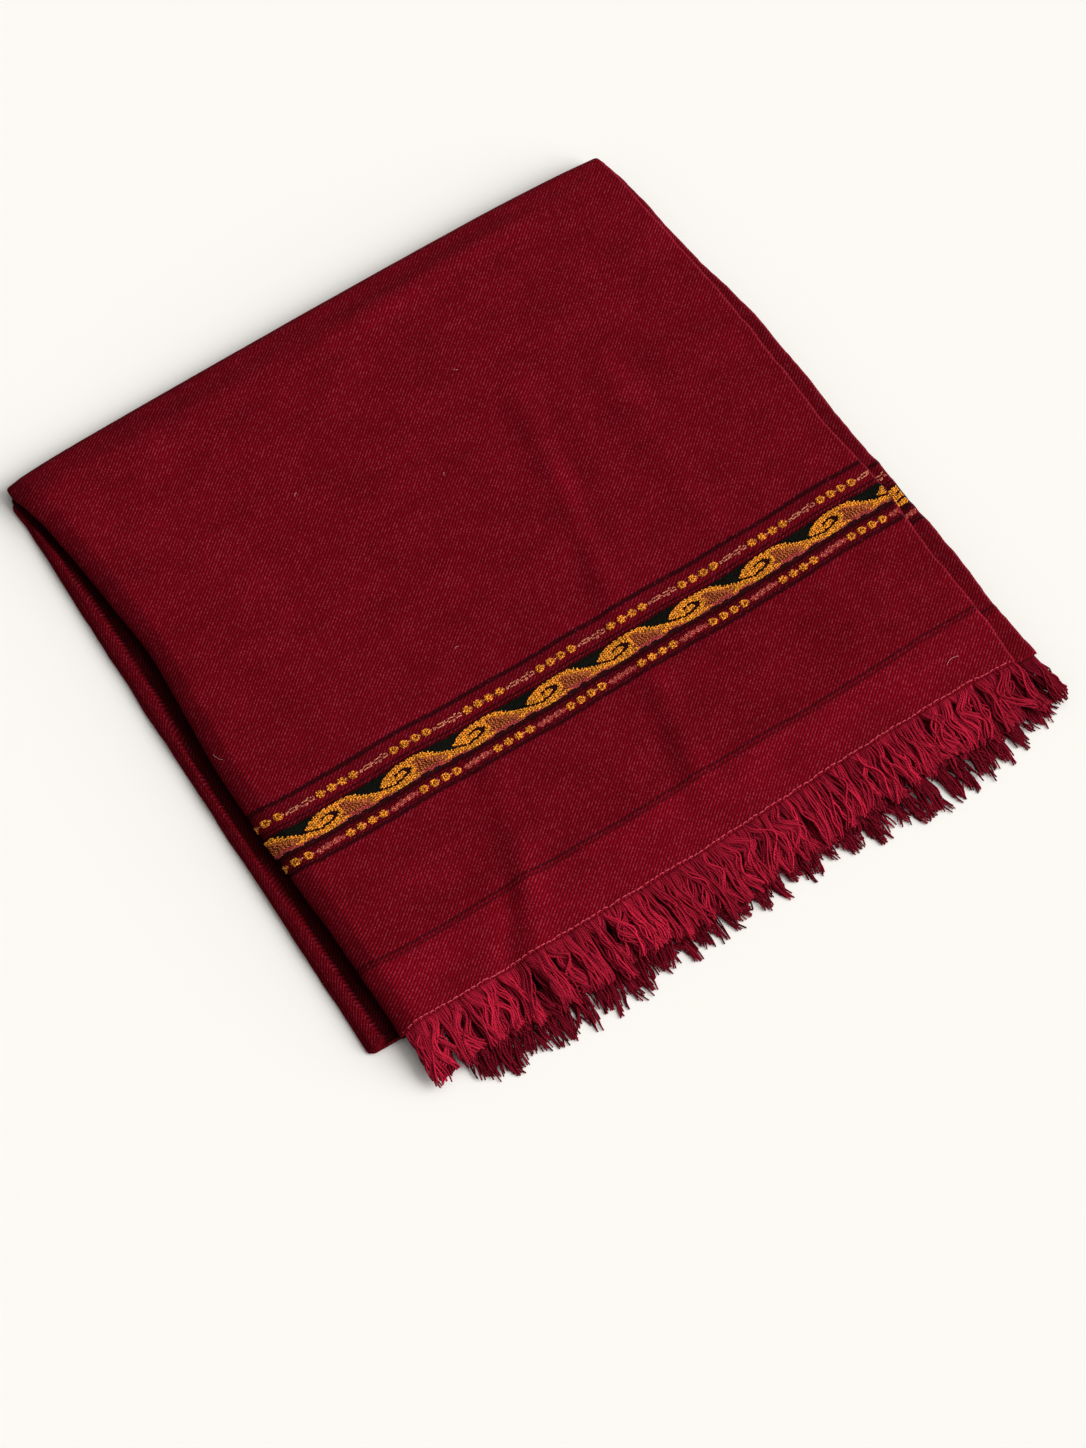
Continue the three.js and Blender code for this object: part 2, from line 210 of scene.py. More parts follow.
def relief(x, y, turn=0.0):
    """How far the cloth lies above or below its flat height, fading out round the back."""
    from_fold = x - smooth_read(leaf_edges, y, "fold")
    rounding = 1 - np.clip((from_fold - shoulder_start) / shoulder_run, 0, 1)
    shoulder_share = 1 - shoulder_less * ease(y, *shoulder_less_slope)
    shoulder = shoulder_drop * rounding**shoulder_power * shoulder_share
    height = -shoulder - shoulder_tail * (1 - ease(from_fold, 0, shoulder_tail_run))
    for depth, slope_across, slope_up in droops:
        height = height - depth * ease(x, *slope_across) * ease(y, *slope_up)
    for from_x, from_y, to_x, to_y, half_width, crease_height in creases:
        run_x, run_y = to_x - from_x, to_y - from_y
        run = math.hypot(run_x, run_y)
        along = ((x - from_x) * run_x + (y - from_y) * run_y) / run**2
        past = (along - np.clip(along, 0, 1)) * run / (half_width * crease_end)
        aside = ((x - from_x) * run_y - (y - from_y) * run_x) / (run * half_width)
        height = height + crease_height * np.exp(-aside * aside - past * past)
    return (height + hills(x, y, leaf_hills)) * np.cos(turn / 2) ** 2


def leaf_middle(across, along):
    """The middle of the cloth. across is 0 to 1 over the top layer, to 2 round the roll and to 3
    over the under layer; along is 0 to 1 from hem to back, and to 2 round the back."""
    straight = np.minimum(along, 1)
    near = flat_y(straight)
    turn = np.maximum(along - 1, 0) * math.pi * back_turn
    corner = corner_inset * np.sin(turn / 2) ** 2
    top, under = top_edge_at(near) - corner, under_edge_at(near) - corner
    fold = fold_at(near) + corner
    roll = roll_at(near)
    bend = math.pi * np.clip(across - 1, 0, 1)
    x_under = blend(fold + roll, under, across - 2)
    drop_under = blend(2 * roll, layer_pitch, ease(x_under - fold - roll, 0, roll_run))
    x = np.where(across < 1, blend(top, fold + roll, across), fold + roll - roll * np.sin(bend))
    x = np.where(across > 2, x_under, x)
    drop = np.where(across > 2, drop_under, roll * (1 - np.cos(bend)))
    y = blend(hem_at(x), back_at(x), straight)
    reach = wrap_radius - drop
    height = wrap_height + reach * np.cos(turn) + relief(x, y, turn)
    return np.stack([x, y + reach * np.sin(turn), height], -1)


def unit(vectors):
    return vectors / np.linalg.norm(vectors, axis=-1, keepdims=True)


def leaf_normal(across, along):
    step = 1e-3
    side = leaf_middle(across + step, along) - leaf_middle(across - step, along)
    way = leaf_middle(across, along + step) - leaf_middle(across, along - step)
    return unit(np.cross(way, side))


# The weft rows rise towards the roll, and lie lower on the margin beside the top selvedge.
weft_skew = {
    "x": (-262, -250, -240, -228, -205, -150, 0, 120, 200, 262),
    "rise": (9.0, 7.0, 4.2, 2.0, 0.4, 0.2, -0.8, -0.4, 1.0, 1.6),
}
weft_waves = ((0.5, 31, 0), (0.35, 11, 1))  # the height, length and start of each
margin_skew = -6.5


def weft_rise(u):
    waver = sum(height * np.sin(u / length + start) for height, length, start in weft_waves)
    return smooth_read(weft_skew, u, "rise") + waver


# The border's rows, from its upper dark line to its lower one, and the two stitch rows below.
upper_line, upper_knots, upper_pair, band_top = -64.2, -75.2, -83.2, -86.6
band_foot, lower_pair, lower_knots, lower_line = -103.2, -105.2, -111.8, -118.2
stitch_row = -206.0

# How the weave draws the cloth in: each row's depth and half width, how far the band stands up,
# and the small puckers near the border and the stitches.
row_dips = (
    (upper_line, 0.3, 1.6), (upper_pair, 0.35, 2.4), (lower_pair, 0.35, 2.0),
    (lower_line, 0.3, 1.6), (stitch_row, 0.35, 2.2),
)
band_lift, band_lift_foot, band_lift_top = 0.35, (-105, -102), (-88, -85)
pucker_hills, pucker_length = ((0.28, 7, 21),), 4
border_middle, border_reach, stitch_reach, stitch_share = -93, 30, 9, 0.7


def puckers(u, v):
    """How far the weave lifts the cloth or draws it in."""
    lift = band_lift * ease(v, *band_lift_foot) * (1 - ease(v, *band_lift_top))
    for row, depth, half_width in row_dips:
        lift = lift - depth * bell(v, row, half_width)
    near = bell(v, border_middle, border_reach) + stitch_share * bell(v, stitch_row, stitch_reach)
    return lift + hills(u, v / pucker_length, pucker_hills) * near


def leaf_face(across, along, u, v, lift, face=1):
    """A point on the cloth's outer face, or its inner one where face is -1, lifted off it."""
    out = face * (solid_wall / 2 + lift) + puckers(u, v)
    return leaf_middle(across, along) + leaf_normal(across, along) * np.asarray(out)[..., None]


def on_leaf(u, v, lift):
    """The point of the top layer or the roll at the cloth's u, across it, and v, up it."""
    straight = (v + weft_rise(u) - hem_at(u)) / (back_at(u) - hem_at(u))
    near = flat_y(straight)
    start, top, roll = fold_at(near) + roll_at(near), top_edge_at(near), roll_at(near)
    across = np.where(u > start, (top - u) / (top - start), 1 + (start - u) / (math.pi * roll))
    return leaf_face(across, straight, u, v, lift)


def on_margin(x, v, lift):
    """The point of the under layer's upper face, beside the top selvedge."""
    straight = (v + margin_skew + weft_rise(x) - hem_at(x)) / (back_at(x) - hem_at(x))
    near = flat_y(straight)
    start = fold_at(near) + roll_at(near)
    across = 2 + (x - start) / (under_edge_at(near) - start)
    return leaf_face(across, straight, x, v, lift - (solid_wall - cloth_wall), face=-1)


def grey_tint(shade):
    """The tint that paints shade and light on the cloth, darker or brighter, and leaves its hue.
    """
    return np.stack([shade, shade, shade, np.ones_like(shade)], -1)


def make_object(name, points, faces, material, cloth=None, tint=None):
    """A smooth mesh object from points in millimetres. cloth is each point's place on the cloth,
    for the weave, and tint its own colour together with painted shade."""
    mesh = bpy.data.meshes.new(name)
    mesh.from_pydata((np.asarray(points) + middle) * mm, [], faces)
    mesh.polygons.foreach_set("use_smooth", np.ones(len(mesh.polygons), bool))
    for attribute, kind, key, values in (("cloth", "FLOAT_VECTOR", "vector", cloth),
                                         ("tint", "FLOAT_COLOR", "color", tint)):
        if values is not None:
            held = mesh.attributes.new(attribute, kind, "POINT")
            held.data.foreach_set(key, np.asarray(values, np.float32).ravel())
    mesh.materials.append(material)
    mesh.update()
    made = bpy.data.objects.new(name, mesh)
    bpy.context.scene.collection.objects.link(made)
    return made


class Value:
    """A number, colour or vector in the material being made. Sums on it add Math nodes."""

    tree = None

    def __init__(self, socket):
        self.socket = socket

    @classmethod
    def node(cls, kind, settings, inputs, output=0):
        """Adds a node. Its settings come first, and then each socket's value or link."""
        made = cls.tree.nodes.new("ShaderNode" + kind)
        for name, setting in settings.items():
            setattr(made, name, setting)
        for name, value in inputs.items():
            if isinstance(value, Value):
                cls.tree.links.new(value.socket, made.inputs[name])
            else:
                made.inputs[name].default_value = value
        return cls(made.outputs[output])

    @classmethod
    def maths(cls, operation, *values):
        return cls.node("Math", {"operation": operation}, dict(enumerate(values)))

    def sum_with(self, operation, other):
        return self.maths(operation, self, other)

    def __rsub__(self, other):
        return self.maths("SUBTRACT", other, self)

    __add__ = __radd__ = partialmethod(sum_with, "ADD")
    __sub__ = partialmethod(sum_with, "SUBTRACT")
    __mul__ = __rmul__ = partialmethod(sum_with, "MULTIPLY")
    __truediv__ = partialmethod(sum_with, "DIVIDE")
    __mod__ = partialmethod(sum_with, "FLOORED_MODULO")
    __lt__ = partialmethod(sum_with, "LESS_THAN")

    def __abs__(self):
        return self.maths("ABSOLUTE", self)

    def whole(self):
        return self.maths("FLOOR", self)

    def step(self, start, end):
        """0 before start and 1 past end, with a soft change between them."""
        limits = {"Value": self, "From Min": start, "From Max": end}
        return self.node("MapRange", {"interpolation_type": "SMOOTHSTEP"}, limits)

    def split(self):
        parts = self.node("SeparateXYZ", {}, {0: self})
        return [Value(socket) for socket in parts.socket.node.outputs]


def start_material(name):
    material = bpy.data.materials.new(name)
    material.use_nodes = True
    Value.tree = material.node_tree
    return material


def finish_shader(material, colour, roughness, shine, height=None, depth=0.0):
    """Sets a material's colour, roughness, shine and bumps, whose depth is in metres."""
    inputs = {"Base Color": colour, "Roughness": roughness, "Specular IOR Level": shine}
    if height is not None:
        inputs["Normal"] = Value.node("Bump", {}, {"Height": height, "Distance": depth})
    shader = material.node_tree.nodes["Principled BSDF"]
    for name, value in inputs.items():
        if isinstance(value, Value):
            material.node_tree.links.new(value.socket, shader.inputs[name])
        else:
            shader.inputs[name].default_value = value


def wave(turn):
    """0 to 1 and back over each full turn."""
    return Value.maths("SINE", turn) * 0.5 + 0.5


def colour_mix(share, first, second, way="MIX"):
    settings = {"data_type": "RGBA", "blend_type": way}
    return Value.node("Mix", settings, {0: share, 6: first, 7: second}, 2)


def brighten(colour, share):
    return Value.node("VectorMath", {"operation": "SCALE"}, {0: colour, "Scale": share})


def noise(x, y, size, detail=2.0, seed=0.0):
    """Soft noise from 0 to 1 over two coordinates, with the size of its hills along each."""
    place = Value.node("CombineXYZ", {}, {0: x / size[0], 1: y / size[1], 2: seed})
    return Value.node("TexNoise", {}, {"Vector": place, "Scale": 1.0, "Detail": detail})


def cloth_place():
    """The three numbers that each point holds as its place on the cloth."""
    return Value.node("Attribute", {"attribute_name": "cloth"}, {}, "Vector").split()


# The tint each point holds: its own colour together with painted shade and light.
def tint_with_painted_shade():
    return Value.node("Attribute", {"attribute_name": "tint"}, {}, "Color")


def chance(count, other):
    """A number from 0 to 1 for each pair of whole counts."""
    return Value.node("TexWhiteNoise", {"noise_dimensions": "2D"},
                      {"Vector": Value.node("CombineXYZ", {}, {0: count, 1: other})})


# The twill: two over and two under. A yarn's height is its low at the ends of a float, with its
# rise added in the middle, and its round is taken off at its sides.
warp_pitch, weft_pitch = 0.83, 0.69
yarn_round = 0.7
warp_low, warp_rise = 0.35, 0.65
weft_low, weft_lift = 0.3, 0.5
# Painted shade: the weave is coloured darker where a yarn lies low and where the weft lies on top.
height_share, over_share = 0.45, 0.58
wool_in_painted_shade = (0.036, 0.0003, 0.0018, 1)
wool_red = (0.225, 0.0026, 0.0106, 1)
# The pale colour serves both the nap's fluff and painted highlights.
pale_wool_and_highlight = (0.52, 0.052, 0.092, 1)
line_wool = (0.014, 0.0014, 0.0026, 1)
ground_wool = (0.008, 0.006, 0.005, 1)

# Each noise over the cloth: the size of its hills across and up it, its detail and its seed. Two
# let the yarns drift, three mottle the colour, and two are the nap's pale fluff and its fuzz.
warp_drift, warp_drift_by = ((38, 38), 2.0, 5.0), 1.6
weft_drift, weft_drift_by = ((46, 46), 1.0, 9.0), 1.2
clouds, clouds_by = ((34, 26), 3.0), 0.55
streaks, streaks_by = ((60, 2.2), 2.0, 3.0), 0.25
grain, grain_by = ((1.5, 1.2), 1.0, 7.0), 0.12
fluff, fluff_limits, fluff_by = ((1.0, 0.7), 1.0, 13.0), (0.70, 0.84), 0.33
fuzz, fuzz_by = ((0.5, 0.5), 1.0), 0.6
# Painted highlight: the crowns of some warp floats are coloured pale.
float_limits, float_highlight_by, row_share = (0.45, 1.05), 0.52, 0.2
least_bright = 0.475
wool_rough, wool_shine, weave_bump = 0.95, 0.03, 0.00030

# The dark lines: the middle and half width of each, and the strength of a stitch row. They waver
# up and down the cloth, most in the broad ones, fade out in short breaks, and are combed rough.
broad_lines = ((upper_line, 1.7), (lower_line, 1.45), (lower_pair, 1.5))
thin_lines = ((-82.0, 0.8), (-85.1, 0.9), (-108.0, 0.5), (-115.6, 0.5))
stitch_lines = ((stitch_row + 1.6, 0.95, 0.74), (stitch_row - 1.8, 0.75, 0.6))
broad_soft, thin_soft, stitch_soft = (0.7, 1.4), (0.5, 1.7), (0.5, 1.8)
broad_limits, thin_limits, stitch_limits = (0.26, 0.42), (0.30, 0.5), (0.28, 0.44)
line_waver, waver_by, thin_waver, stitch_waver = ((5, 1), 3.0, 21.0), 2.2, 0.6, 0.4
line_breaks, stitch_breaks = ((5, 1.2), 2.0, 23.0), ((2.4, 1.4), 1.0, 31.0)
line_comb, comb_by, comb_least = ((1.2, 3.0), 0.0, 22.0), 1.3, 0.35
line_share, thin_share, line_dip = 0.9, 0.9, 0.5

# The band's black ground, the ribs of the whole border, the pale flat selvedge, and painted light
# on the hem beyond the stitch rows, which makes it a little brighter.
ground_past, ground_soft, ground_share = 0.9, 0.6, 0.95
border_soft, border_shade, rib_shade, rib_rate = 2, 0.08, 0.22, 5.2
selvedge_limits, selvedge_pale, selvedge_flat = (1.0, 1.7), 0.09, 0.7
hem_painted_light_limits, hem_painted_light = (-209, -206), 0.19


def twill(u, v):
    """The weave's height from 0 to 1, where the warp lies on top, and a chance for each float of
    the warp and for each row of the weft."""
    warp, weft = u / warp_pitch, v / weft_pitch
    warp_count, weft_count = warp.whole(), weft.whole()
    over = (warp_count - weft_count) % 4 < 2
    warp_side, weft_side = (warp - warp_count) * 2 - 1, (weft - weft_count) * 2 - 1
    warp_arch = Value.maths("SINE", ((weft - warp_count + 1) % 4) * (math.pi / 2))
    weft_arch = Value.maths("SINE", ((warp - weft_count - 2) % 4) * (math.pi / 2))
    warp_height = (1 - warp_side * warp_side * yarn_round) * (warp_low + warp_rise * warp_arch)
    weft_height = (1 - weft_side * weft_side * yarn_round) * (weft_low + weft_lift * weft_arch)
    height = over * warp_height + (1 - over) * weft_height
    float_count = ((weft - warp_count + 1) / 4).whole()
    return height, over, chance(warp_count, float_count), chance(weft_count, 3.0)


def stripe(distance, half_width, soft):
    """1 near the middle of a line and 0 past its edge. soft holds, in half widths, where the
    change starts and ends."""
    return 1 - distance.step(half_width * soft[0], half_width * soft[1])


def within(v, foot, top, soft):
    """1 between foot and top, with a change over the distance soft inside each."""
    return v.step(foot, foot + soft) * (1 - v.step(top - soft, top))


def dark_lines(u, v):
    """Where the border's dark lines and the two stitch rows lie, from 0 to 1."""
    waver = noise(u, v * 0, *line_waver) * waver_by - waver_by / 2
    broken = noise(u, v, *line_breaks)
    comb = noise(u, v, *line_comb) * comb_by + comb_least
    dark = None
    for centre, half_width in broad_lines:
        line = stripe(abs(v + waver - centre) / comb, half_width, broad_soft)
        line = line * broken.step(*broad_limits)
        dark = line if dark is None else Value.maths("MAXIMUM", dark, line)
    for centre, half_width in thin_lines:
        line = stripe(abs(v + waver * thin_waver - centre), half_width, thin_soft)
        line = line * broken.step(*thin_limits) * thin_share
        dark = Value.maths("MAXIMUM", dark, line)
    for centre, half_width, strength in stitch_lines:
        line = stripe(abs(v + waver * stitch_waver - centre) / comb, half_width, stitch_soft)
        dashes = noise(u, v, *stitch_breaks).step(*stitch_limits)
        dark = Value.maths("MAXIMUM", dark, line * dashes * strength)
    return dark


def wool_cloth(name, bordered):
    """Brushed twill wool. A bordered one has the border's dark lines and the stitch rows."""
    material = start_material(name)
    u, v, from_edge = cloth_place()
    drift = noise(u, v, *warp_drift) * warp_drift_by
    height, over, float_chance, row_chance = twill(
        u + drift, v + noise(u, v, *weft_drift) * weft_drift_by)
    # Painted shade in the hollows of the weave and on the weft.
    colour = colour_mix(height * height_share + over * over_share, wool_in_painted_shade, wool_red)
    either_chance = float_chance * (1 - row_share) + row_chance * row_share
    # A painted highlight on the crowns of some warp floats.
    float_painted_highlight = over * height * either_chance.step(*float_limits)
    colour = colour_mix(float_painted_highlight * float_highlight_by, colour, pale_wool_and_highlight)
    mottle = noise(u, v, *clouds) * clouds_by + noise(u, v, *streaks) * streaks_by
    mottle = mottle + noise(u, v, *grain) * grain_by
    pale = noise(u, v, *fluff).step(*fluff_limits) * fluff_by
    colour = colour_mix(pale, colour, pale_wool_and_highlight)
    # The points' tint multiplies in the painted shade.
    colour = colour_mix(1.0, brighten(colour, least_bright + mottle), tint_with_painted_shade(), "MULTIPLY")
    lumps = height + noise(u, v, *fuzz) * fuzz_by
    if bordered:
        dark = dark_lines(u, v)
        colour = colour_mix(dark * line_share, colour, line_wool)
        foot, top = band_foot - ground_past, band_top + ground_past
        colour = colour_mix(within(v, foot, top, ground_soft) * ground_share, colour, ground_wool)
        ribs = wave((u + drift) * rib_rate)
        in_border = within(v, lower_line, upper_line, border_soft)
        ribs = in_border * (border_shade + ribs * rib_shade)
        colour = brighten(colour, 1 - ribs)
        selvedge = 1 - from_edge.step(*selvedge_limits)
        colour = colour_mix(selvedge * selvedge_pale, colour, pale_wool_and_highlight)
        # Painted light: the hem beyond the stitch rows is coloured brighter.
        colour = brighten(colour, 1 + (1 - v.step(*hem_painted_light_limits)) * hem_painted_light)
        lumps = lumps * (1 - selvedge * selvedge_flat) - dark * line_dip
    finish_shader(material, colour, wool_rough, wool_shine, lumps, weave_bump)
    return material


def steps_between(*stops):
    """Places from stop to stop, each pair of stops followed by how many steps lie between."""
    places = [stops[0]]
    for count, stop in zip(stops[1::2], stops[2::2]):
        places.extend(np.linspace(places[-1], stop, count + 1)[1:])
    return np.array(places)


def shell_faces(columns, rows):
    """The faces of a closed shell: an outer grid of points, and then its inner one."""
    count = columns * rows
    at = np.arange(count).reshape(columns, rows)
    grid = np.stack([at[:-1, :-1], at[:-1, 1:], at[1:, 1:], at[1:, :-1]], -1).reshape(-1, 4)
    rim = np.concatenate([at[0, :], at[1:, -1], at[-1, -2::-1], at[-2:0:-1, 0]])
    ahead = np.roll(rim, -1)
    edge = np.stack([ahead, rim, rim + count, ahead + count], -1)
    return np.concatenate([grid, grid[:, ::-1] + count, edge])


# The mesh's columns and rows: stops, as leaf_middle takes them, with the steps between.
leaf_columns = (0, 3, 0.008, 3, 0.03, 152, 0.95, 14, 1, 14, 2, 30, 2.94, 9, 3)
leaf_rows = (0, 2, 0.006, 74, 0.42, 56, 1, 18, 2)

# The shell thins over its last stretch to a selvedge, and to the hem, from a share of the wall.
selvedge_thin, selvedge_thin_run = 0.45, 1.6
hem_thin, hem_thin_run = 0.6, 0.004
far_from_edge = 99

# Painted shade: the cloth is coloured darker underneath, beside the roll and at the back left.
under_painted_shade = 0.74
roll_painted_shade, roll_painted_shade_run = 0.27, (1, 14)
back_painted_shade, back_painted_shade_y, back_painted_shade_x = 0.2, (226, 262), (60, -170)


def make_leaf():
    across, along = steps_between(*leaf_columns), steps_between(*leaf_rows)
    columns, rows = len(across), len(along)
    a, b = np.meshgrid(across, along, indexing="ij")
    points, normals = leaf_middle(a, b), leaf_normal(a, b)
    x, y = points[..., 0], points[..., 1]
    near = flat_y(np.minimum(b, 1))
    roll = roll_at(near)
    start = fold_at(near) + roll
    u = np.where(a < 1, x, start - np.clip(a - 1, 0, 1) * math.pi * roll)
    u = np.where(a > 2, x, u)
    v = y - weft_rise(u) - np.where(a > 2, margin_skew, 0)
    round_back = np.maximum(b - 1, 0) * math.pi * back_turn * wrap_radius
    v = np.where(b > 1, back_at(x) + round_back, v)
    to_edge = np.where(a > 2, under_edge_at(near) - x, far_from_edge)
    to_edge = np.where(a < 1, top_edge_at(near) - x, to_edge)
    thin = blend(selvedge_thin, 1, ease(to_edge, 0, selvedge_thin_run))
    thin = thin * blend(hem_thin, 1, ease(b, 0, hem_thin_run))
    lift = puckers(u, v)
    outer = solid_wall / 2 - cloth_wall * (1 - thin) / 2
    inner = outer - cloth_wall * thin
    faces = [points + normals * (side + lift)[..., None] for side in (outer, inner)]
    cloth = np.stack([u, v, to_edge], -1).reshape(-1, 3)
    # Painted shade beside the roll, at the back left and on the under layer.
    by_roll = 1 - ease(x - smooth_read(leaf_edges, near, "fold"), *roll_painted_shade_run)
    at_back = ease(near, *back_painted_shade_y) * ease(x, *back_painted_shade_x)
    shade = np.where(a > 2, under_painted_shade, 1 - roll_painted_shade * by_roll - back_painted_shade * at_back)
    tint = grey_tint(shade.ravel())
    return make_object(
        "top_leaf", np.concatenate([f.reshape(-1, 3) for f in faces]), shell_faces(columns, rows),
        wool_cloth("brushed twill wool", True), np.tile(cloth, (2, 1)), np.tile(tint, (2, 1)),
    )


leaf = make_leaf()
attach(leaf, "root")
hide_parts("upper_leaf")


# ---------------- Lower folds
# The rest of the cloth, folded under the top leaf: a hem just behind the top one, and two
# leaves joined by a plain fold at the front. Only their edges show, one above the other, at
# the left, the right and the front.

# The left and the right side: where each lies at the back, and how it spreads towards the front.
lower_sides = ((-250.0, -26.0, 0.8), (250.0, 16.0, 0.5))
lower_rings = {
    "z": (0, 0.9, 2.4, 3.9, 4.8, 5.3, 6.1, 7.2, 8.4, 9.0, 9.5, 10.3, 11.4, 12.3, 13.2, 14.3, 15.0),
    "left": (1.8, 0.4, 0, 0.9, 1.6, 2.4, 1.9, 3, 6, 14, 27, 42, 50, 58, 66, 78, 92),
    "front": (3.5, 1.4, 0.2, 0, 0, 0.1, 0.3, 1, 2.6, 5, 5.2, 1.5, 0.8, 1.3, 0.8, 2.4, 9),
    "right": (1.6, 0.4, 0, 1.7, 0.6, 0.2, 3.8, 3.2, 4.6, 3, 5.2, 5, 4.4, 6.4, 6, 8.4, 14),
}
lower_half, lower_top, back_gap, back_gap_y = 250, 15.0, 2.5, (225, 250)
nose_radius, nose_foot, nose_foot_top = 5.8, 0.1, 4.9

# Each leaf wanders in and out by itself, and a notch parts it from the next.
shift_hills = ((0.5, 40, 41), (0.25, 12, 42))
leaf_wander = ((0.9, 31, 27, 43), (0.35, 17, 9, 44))
notch_depth, notch_base, notch_start = 1.1, 0.6, 0.8
front_notch, left_notch = 0.7, 0.6

# The hollow beside the roll: how far it reaches behind the roll's edge, from the back to the
# front, and the trough and the tuck that keep the lid clear of the leaf above.
cavity_back, cavity_front, cavity_run = 8.0, 12.8, (220, 90)
cavity_edge, cavity_rise = 3.5, (5.2, 7.5)
trough_depth, trough_across, trough_end = 4.6, (3, 16), (215, 245)
back_tuck, tuck_rise, tuck_run = 3.4, (9, 15), (205, 245)
# Painted shade: the lower folds are coloured darker all over, and darker still in the hollow
# beside the roll.
lower_painted_shade, cavity_painted_shade = 0.75, 0.8
lower_front, front_bow, front_bow_length = -253.5, 1.2, 52
lower_columns, lower_rows, lower_corner, corner_steps = 110, 61, 0.02, 6


def lower_front_at(x):
    return lower_front + front_bow * np.sin(x / front_bow_length + 1)


def rounded_square(count, corner):
    """Points round a square from -1 to 1 with rounded corners, anticlockwise from above."""
    place = np.linspace(-1 + corner, 1 - corner, count, endpoint=False)
    turn = np.linspace(0, math.pi / 2, corner_steps, endpoint=False)
    u = np.concatenate([place, 1 - corner + corner * np.sin(turn)])
    v = np.concatenate([place * 0 - 1, corner - 1 - corner * np.cos(turn)])
    sides = [(u, v), (-v, u), (-u, -v), (v, -u)]
    return np.concatenate([s[0] for s in sides]), np.concatenate([s[1] for s in sides])


def make_lower_folds():
    u, v = rounded_square(lower_columns, lower_corner)
    heights = np.linspace(0.0, lower_top, lower_rows)
    u, z = np.meshgrid(u, heights)
    v = np.meshgrid(v, heights)[0]
    on_side = np.abs(u) > np.abs(v)
    place = np.where(on_side, v, u) * lower_half
    side = np.where(on_side, np.where(u < 0, 0, 1), 2)
    leaf_count = (z + hills(place, side * 50, shift_hills)) / layer_pitch
    between = 1 - np.sqrt(np.abs(np.sin(math.pi * leaf_count)))
    wander = sum(size * uneven(place, np.floor(leaf_count) * step + side * 7, length, seed)
                 for size, step, length, seed in leaf_wander)
    notch = (notch_depth * between - wander + notch_base) * ease(z, 0, notch_start)
    front = lower_front_at(u * -lower_front) + smooth_read(lower_rings, z, "front")
    rise = np.clip(nose_radius**2 - (z - wrap_height) ** 2, 0, None)
    nose = np.where(z < nose_foot_top, nose_foot, np.sqrt(rise))
    y = blend(front + notch * front_notch, back_at(u * lower_half) + nose, (v + 1) / 2)
    forward = np.clip((back_reach - y) / (back_reach - hem_line["y"][0]), 0, 1)
    left, right = (back + spread * forward**power for back, spread, power in lower_sides)
    left = left + smooth_read(lower_rings, z, "left") + notch * left_notch
    left = left - back_gap * ease(y, *back_gap_y)
    right = right - smooth_read(lower_rings, z, "right") - notch
    x = blend(left, right, (u + 1) / 2)
    from_fold = x - fold_at(y)
    reach = blend(cavity_back, cavity_front, ease(y, *cavity_run))
    cavity = ease(from_fold, -reach, cavity_edge - reach) * ease(z, *cavity_rise)
    trough = cavity * (1 - ease(from_fold, *trough_across)) * (1 - ease(y, *trough_end))
    z = z - trough_depth * trough - back_tuck * ease(z, *tuck_rise) * ease(y, *tuck_run)
    points = np.stack([x, y, z], -1)
    rings, count = x.shape
    at = np.arange(rings * count).reshape(rings, count)
    ahead = np.roll(at, -1, axis=1)
    wall = np.stack([at[:-1], ahead[:-1], ahead[1:], at[1:]], -1).reshape(-1, 4).tolist()
    foot, lid = rings * count, rings * count + 1
    caps = [(b, a, foot) for a, b in zip(at[0], ahead[0])]
    caps += [(a, b, lid) for a, b in zip(at[-1], ahead[-1])]
    ends = np.array([[0, 0, 0.0], [0, 0, lower_top]])
    points = np.concatenate([points.reshape(-1, 3), ends])
    across, down = np.where(on_side, y, x), z + np.where(on_side, x, y)
    cloth = np.stack([across, down, np.full_like(z, far_from_edge)], -1).reshape(-1, 3)
    cloth = np.concatenate([cloth, [[0, 0, far_from_edge]] * 2])
    # Painted shade over the lower folds and in the hollow.
    tint = grey_tint(np.append(lower_painted_shade * (1 - cavity_painted_shade * cavity.ravel()), (1, 1)))
    return make_object("lower_folds_cloth", points, wall + caps,
                       wool_cloth("twill wool of the lower folds", False), cloth, tint)


lower = make_lower_folds()
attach(lower, "root")
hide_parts("lower_folds")


# ---------------- Woven border
# An extra weft of gold, tan and black wool, brought up over the twill in short floats: a band
# of curled paisley leaves between two rows of knots. It is woven in with the cloth, so it
# runs over the roll and shows again on the margin at the right.

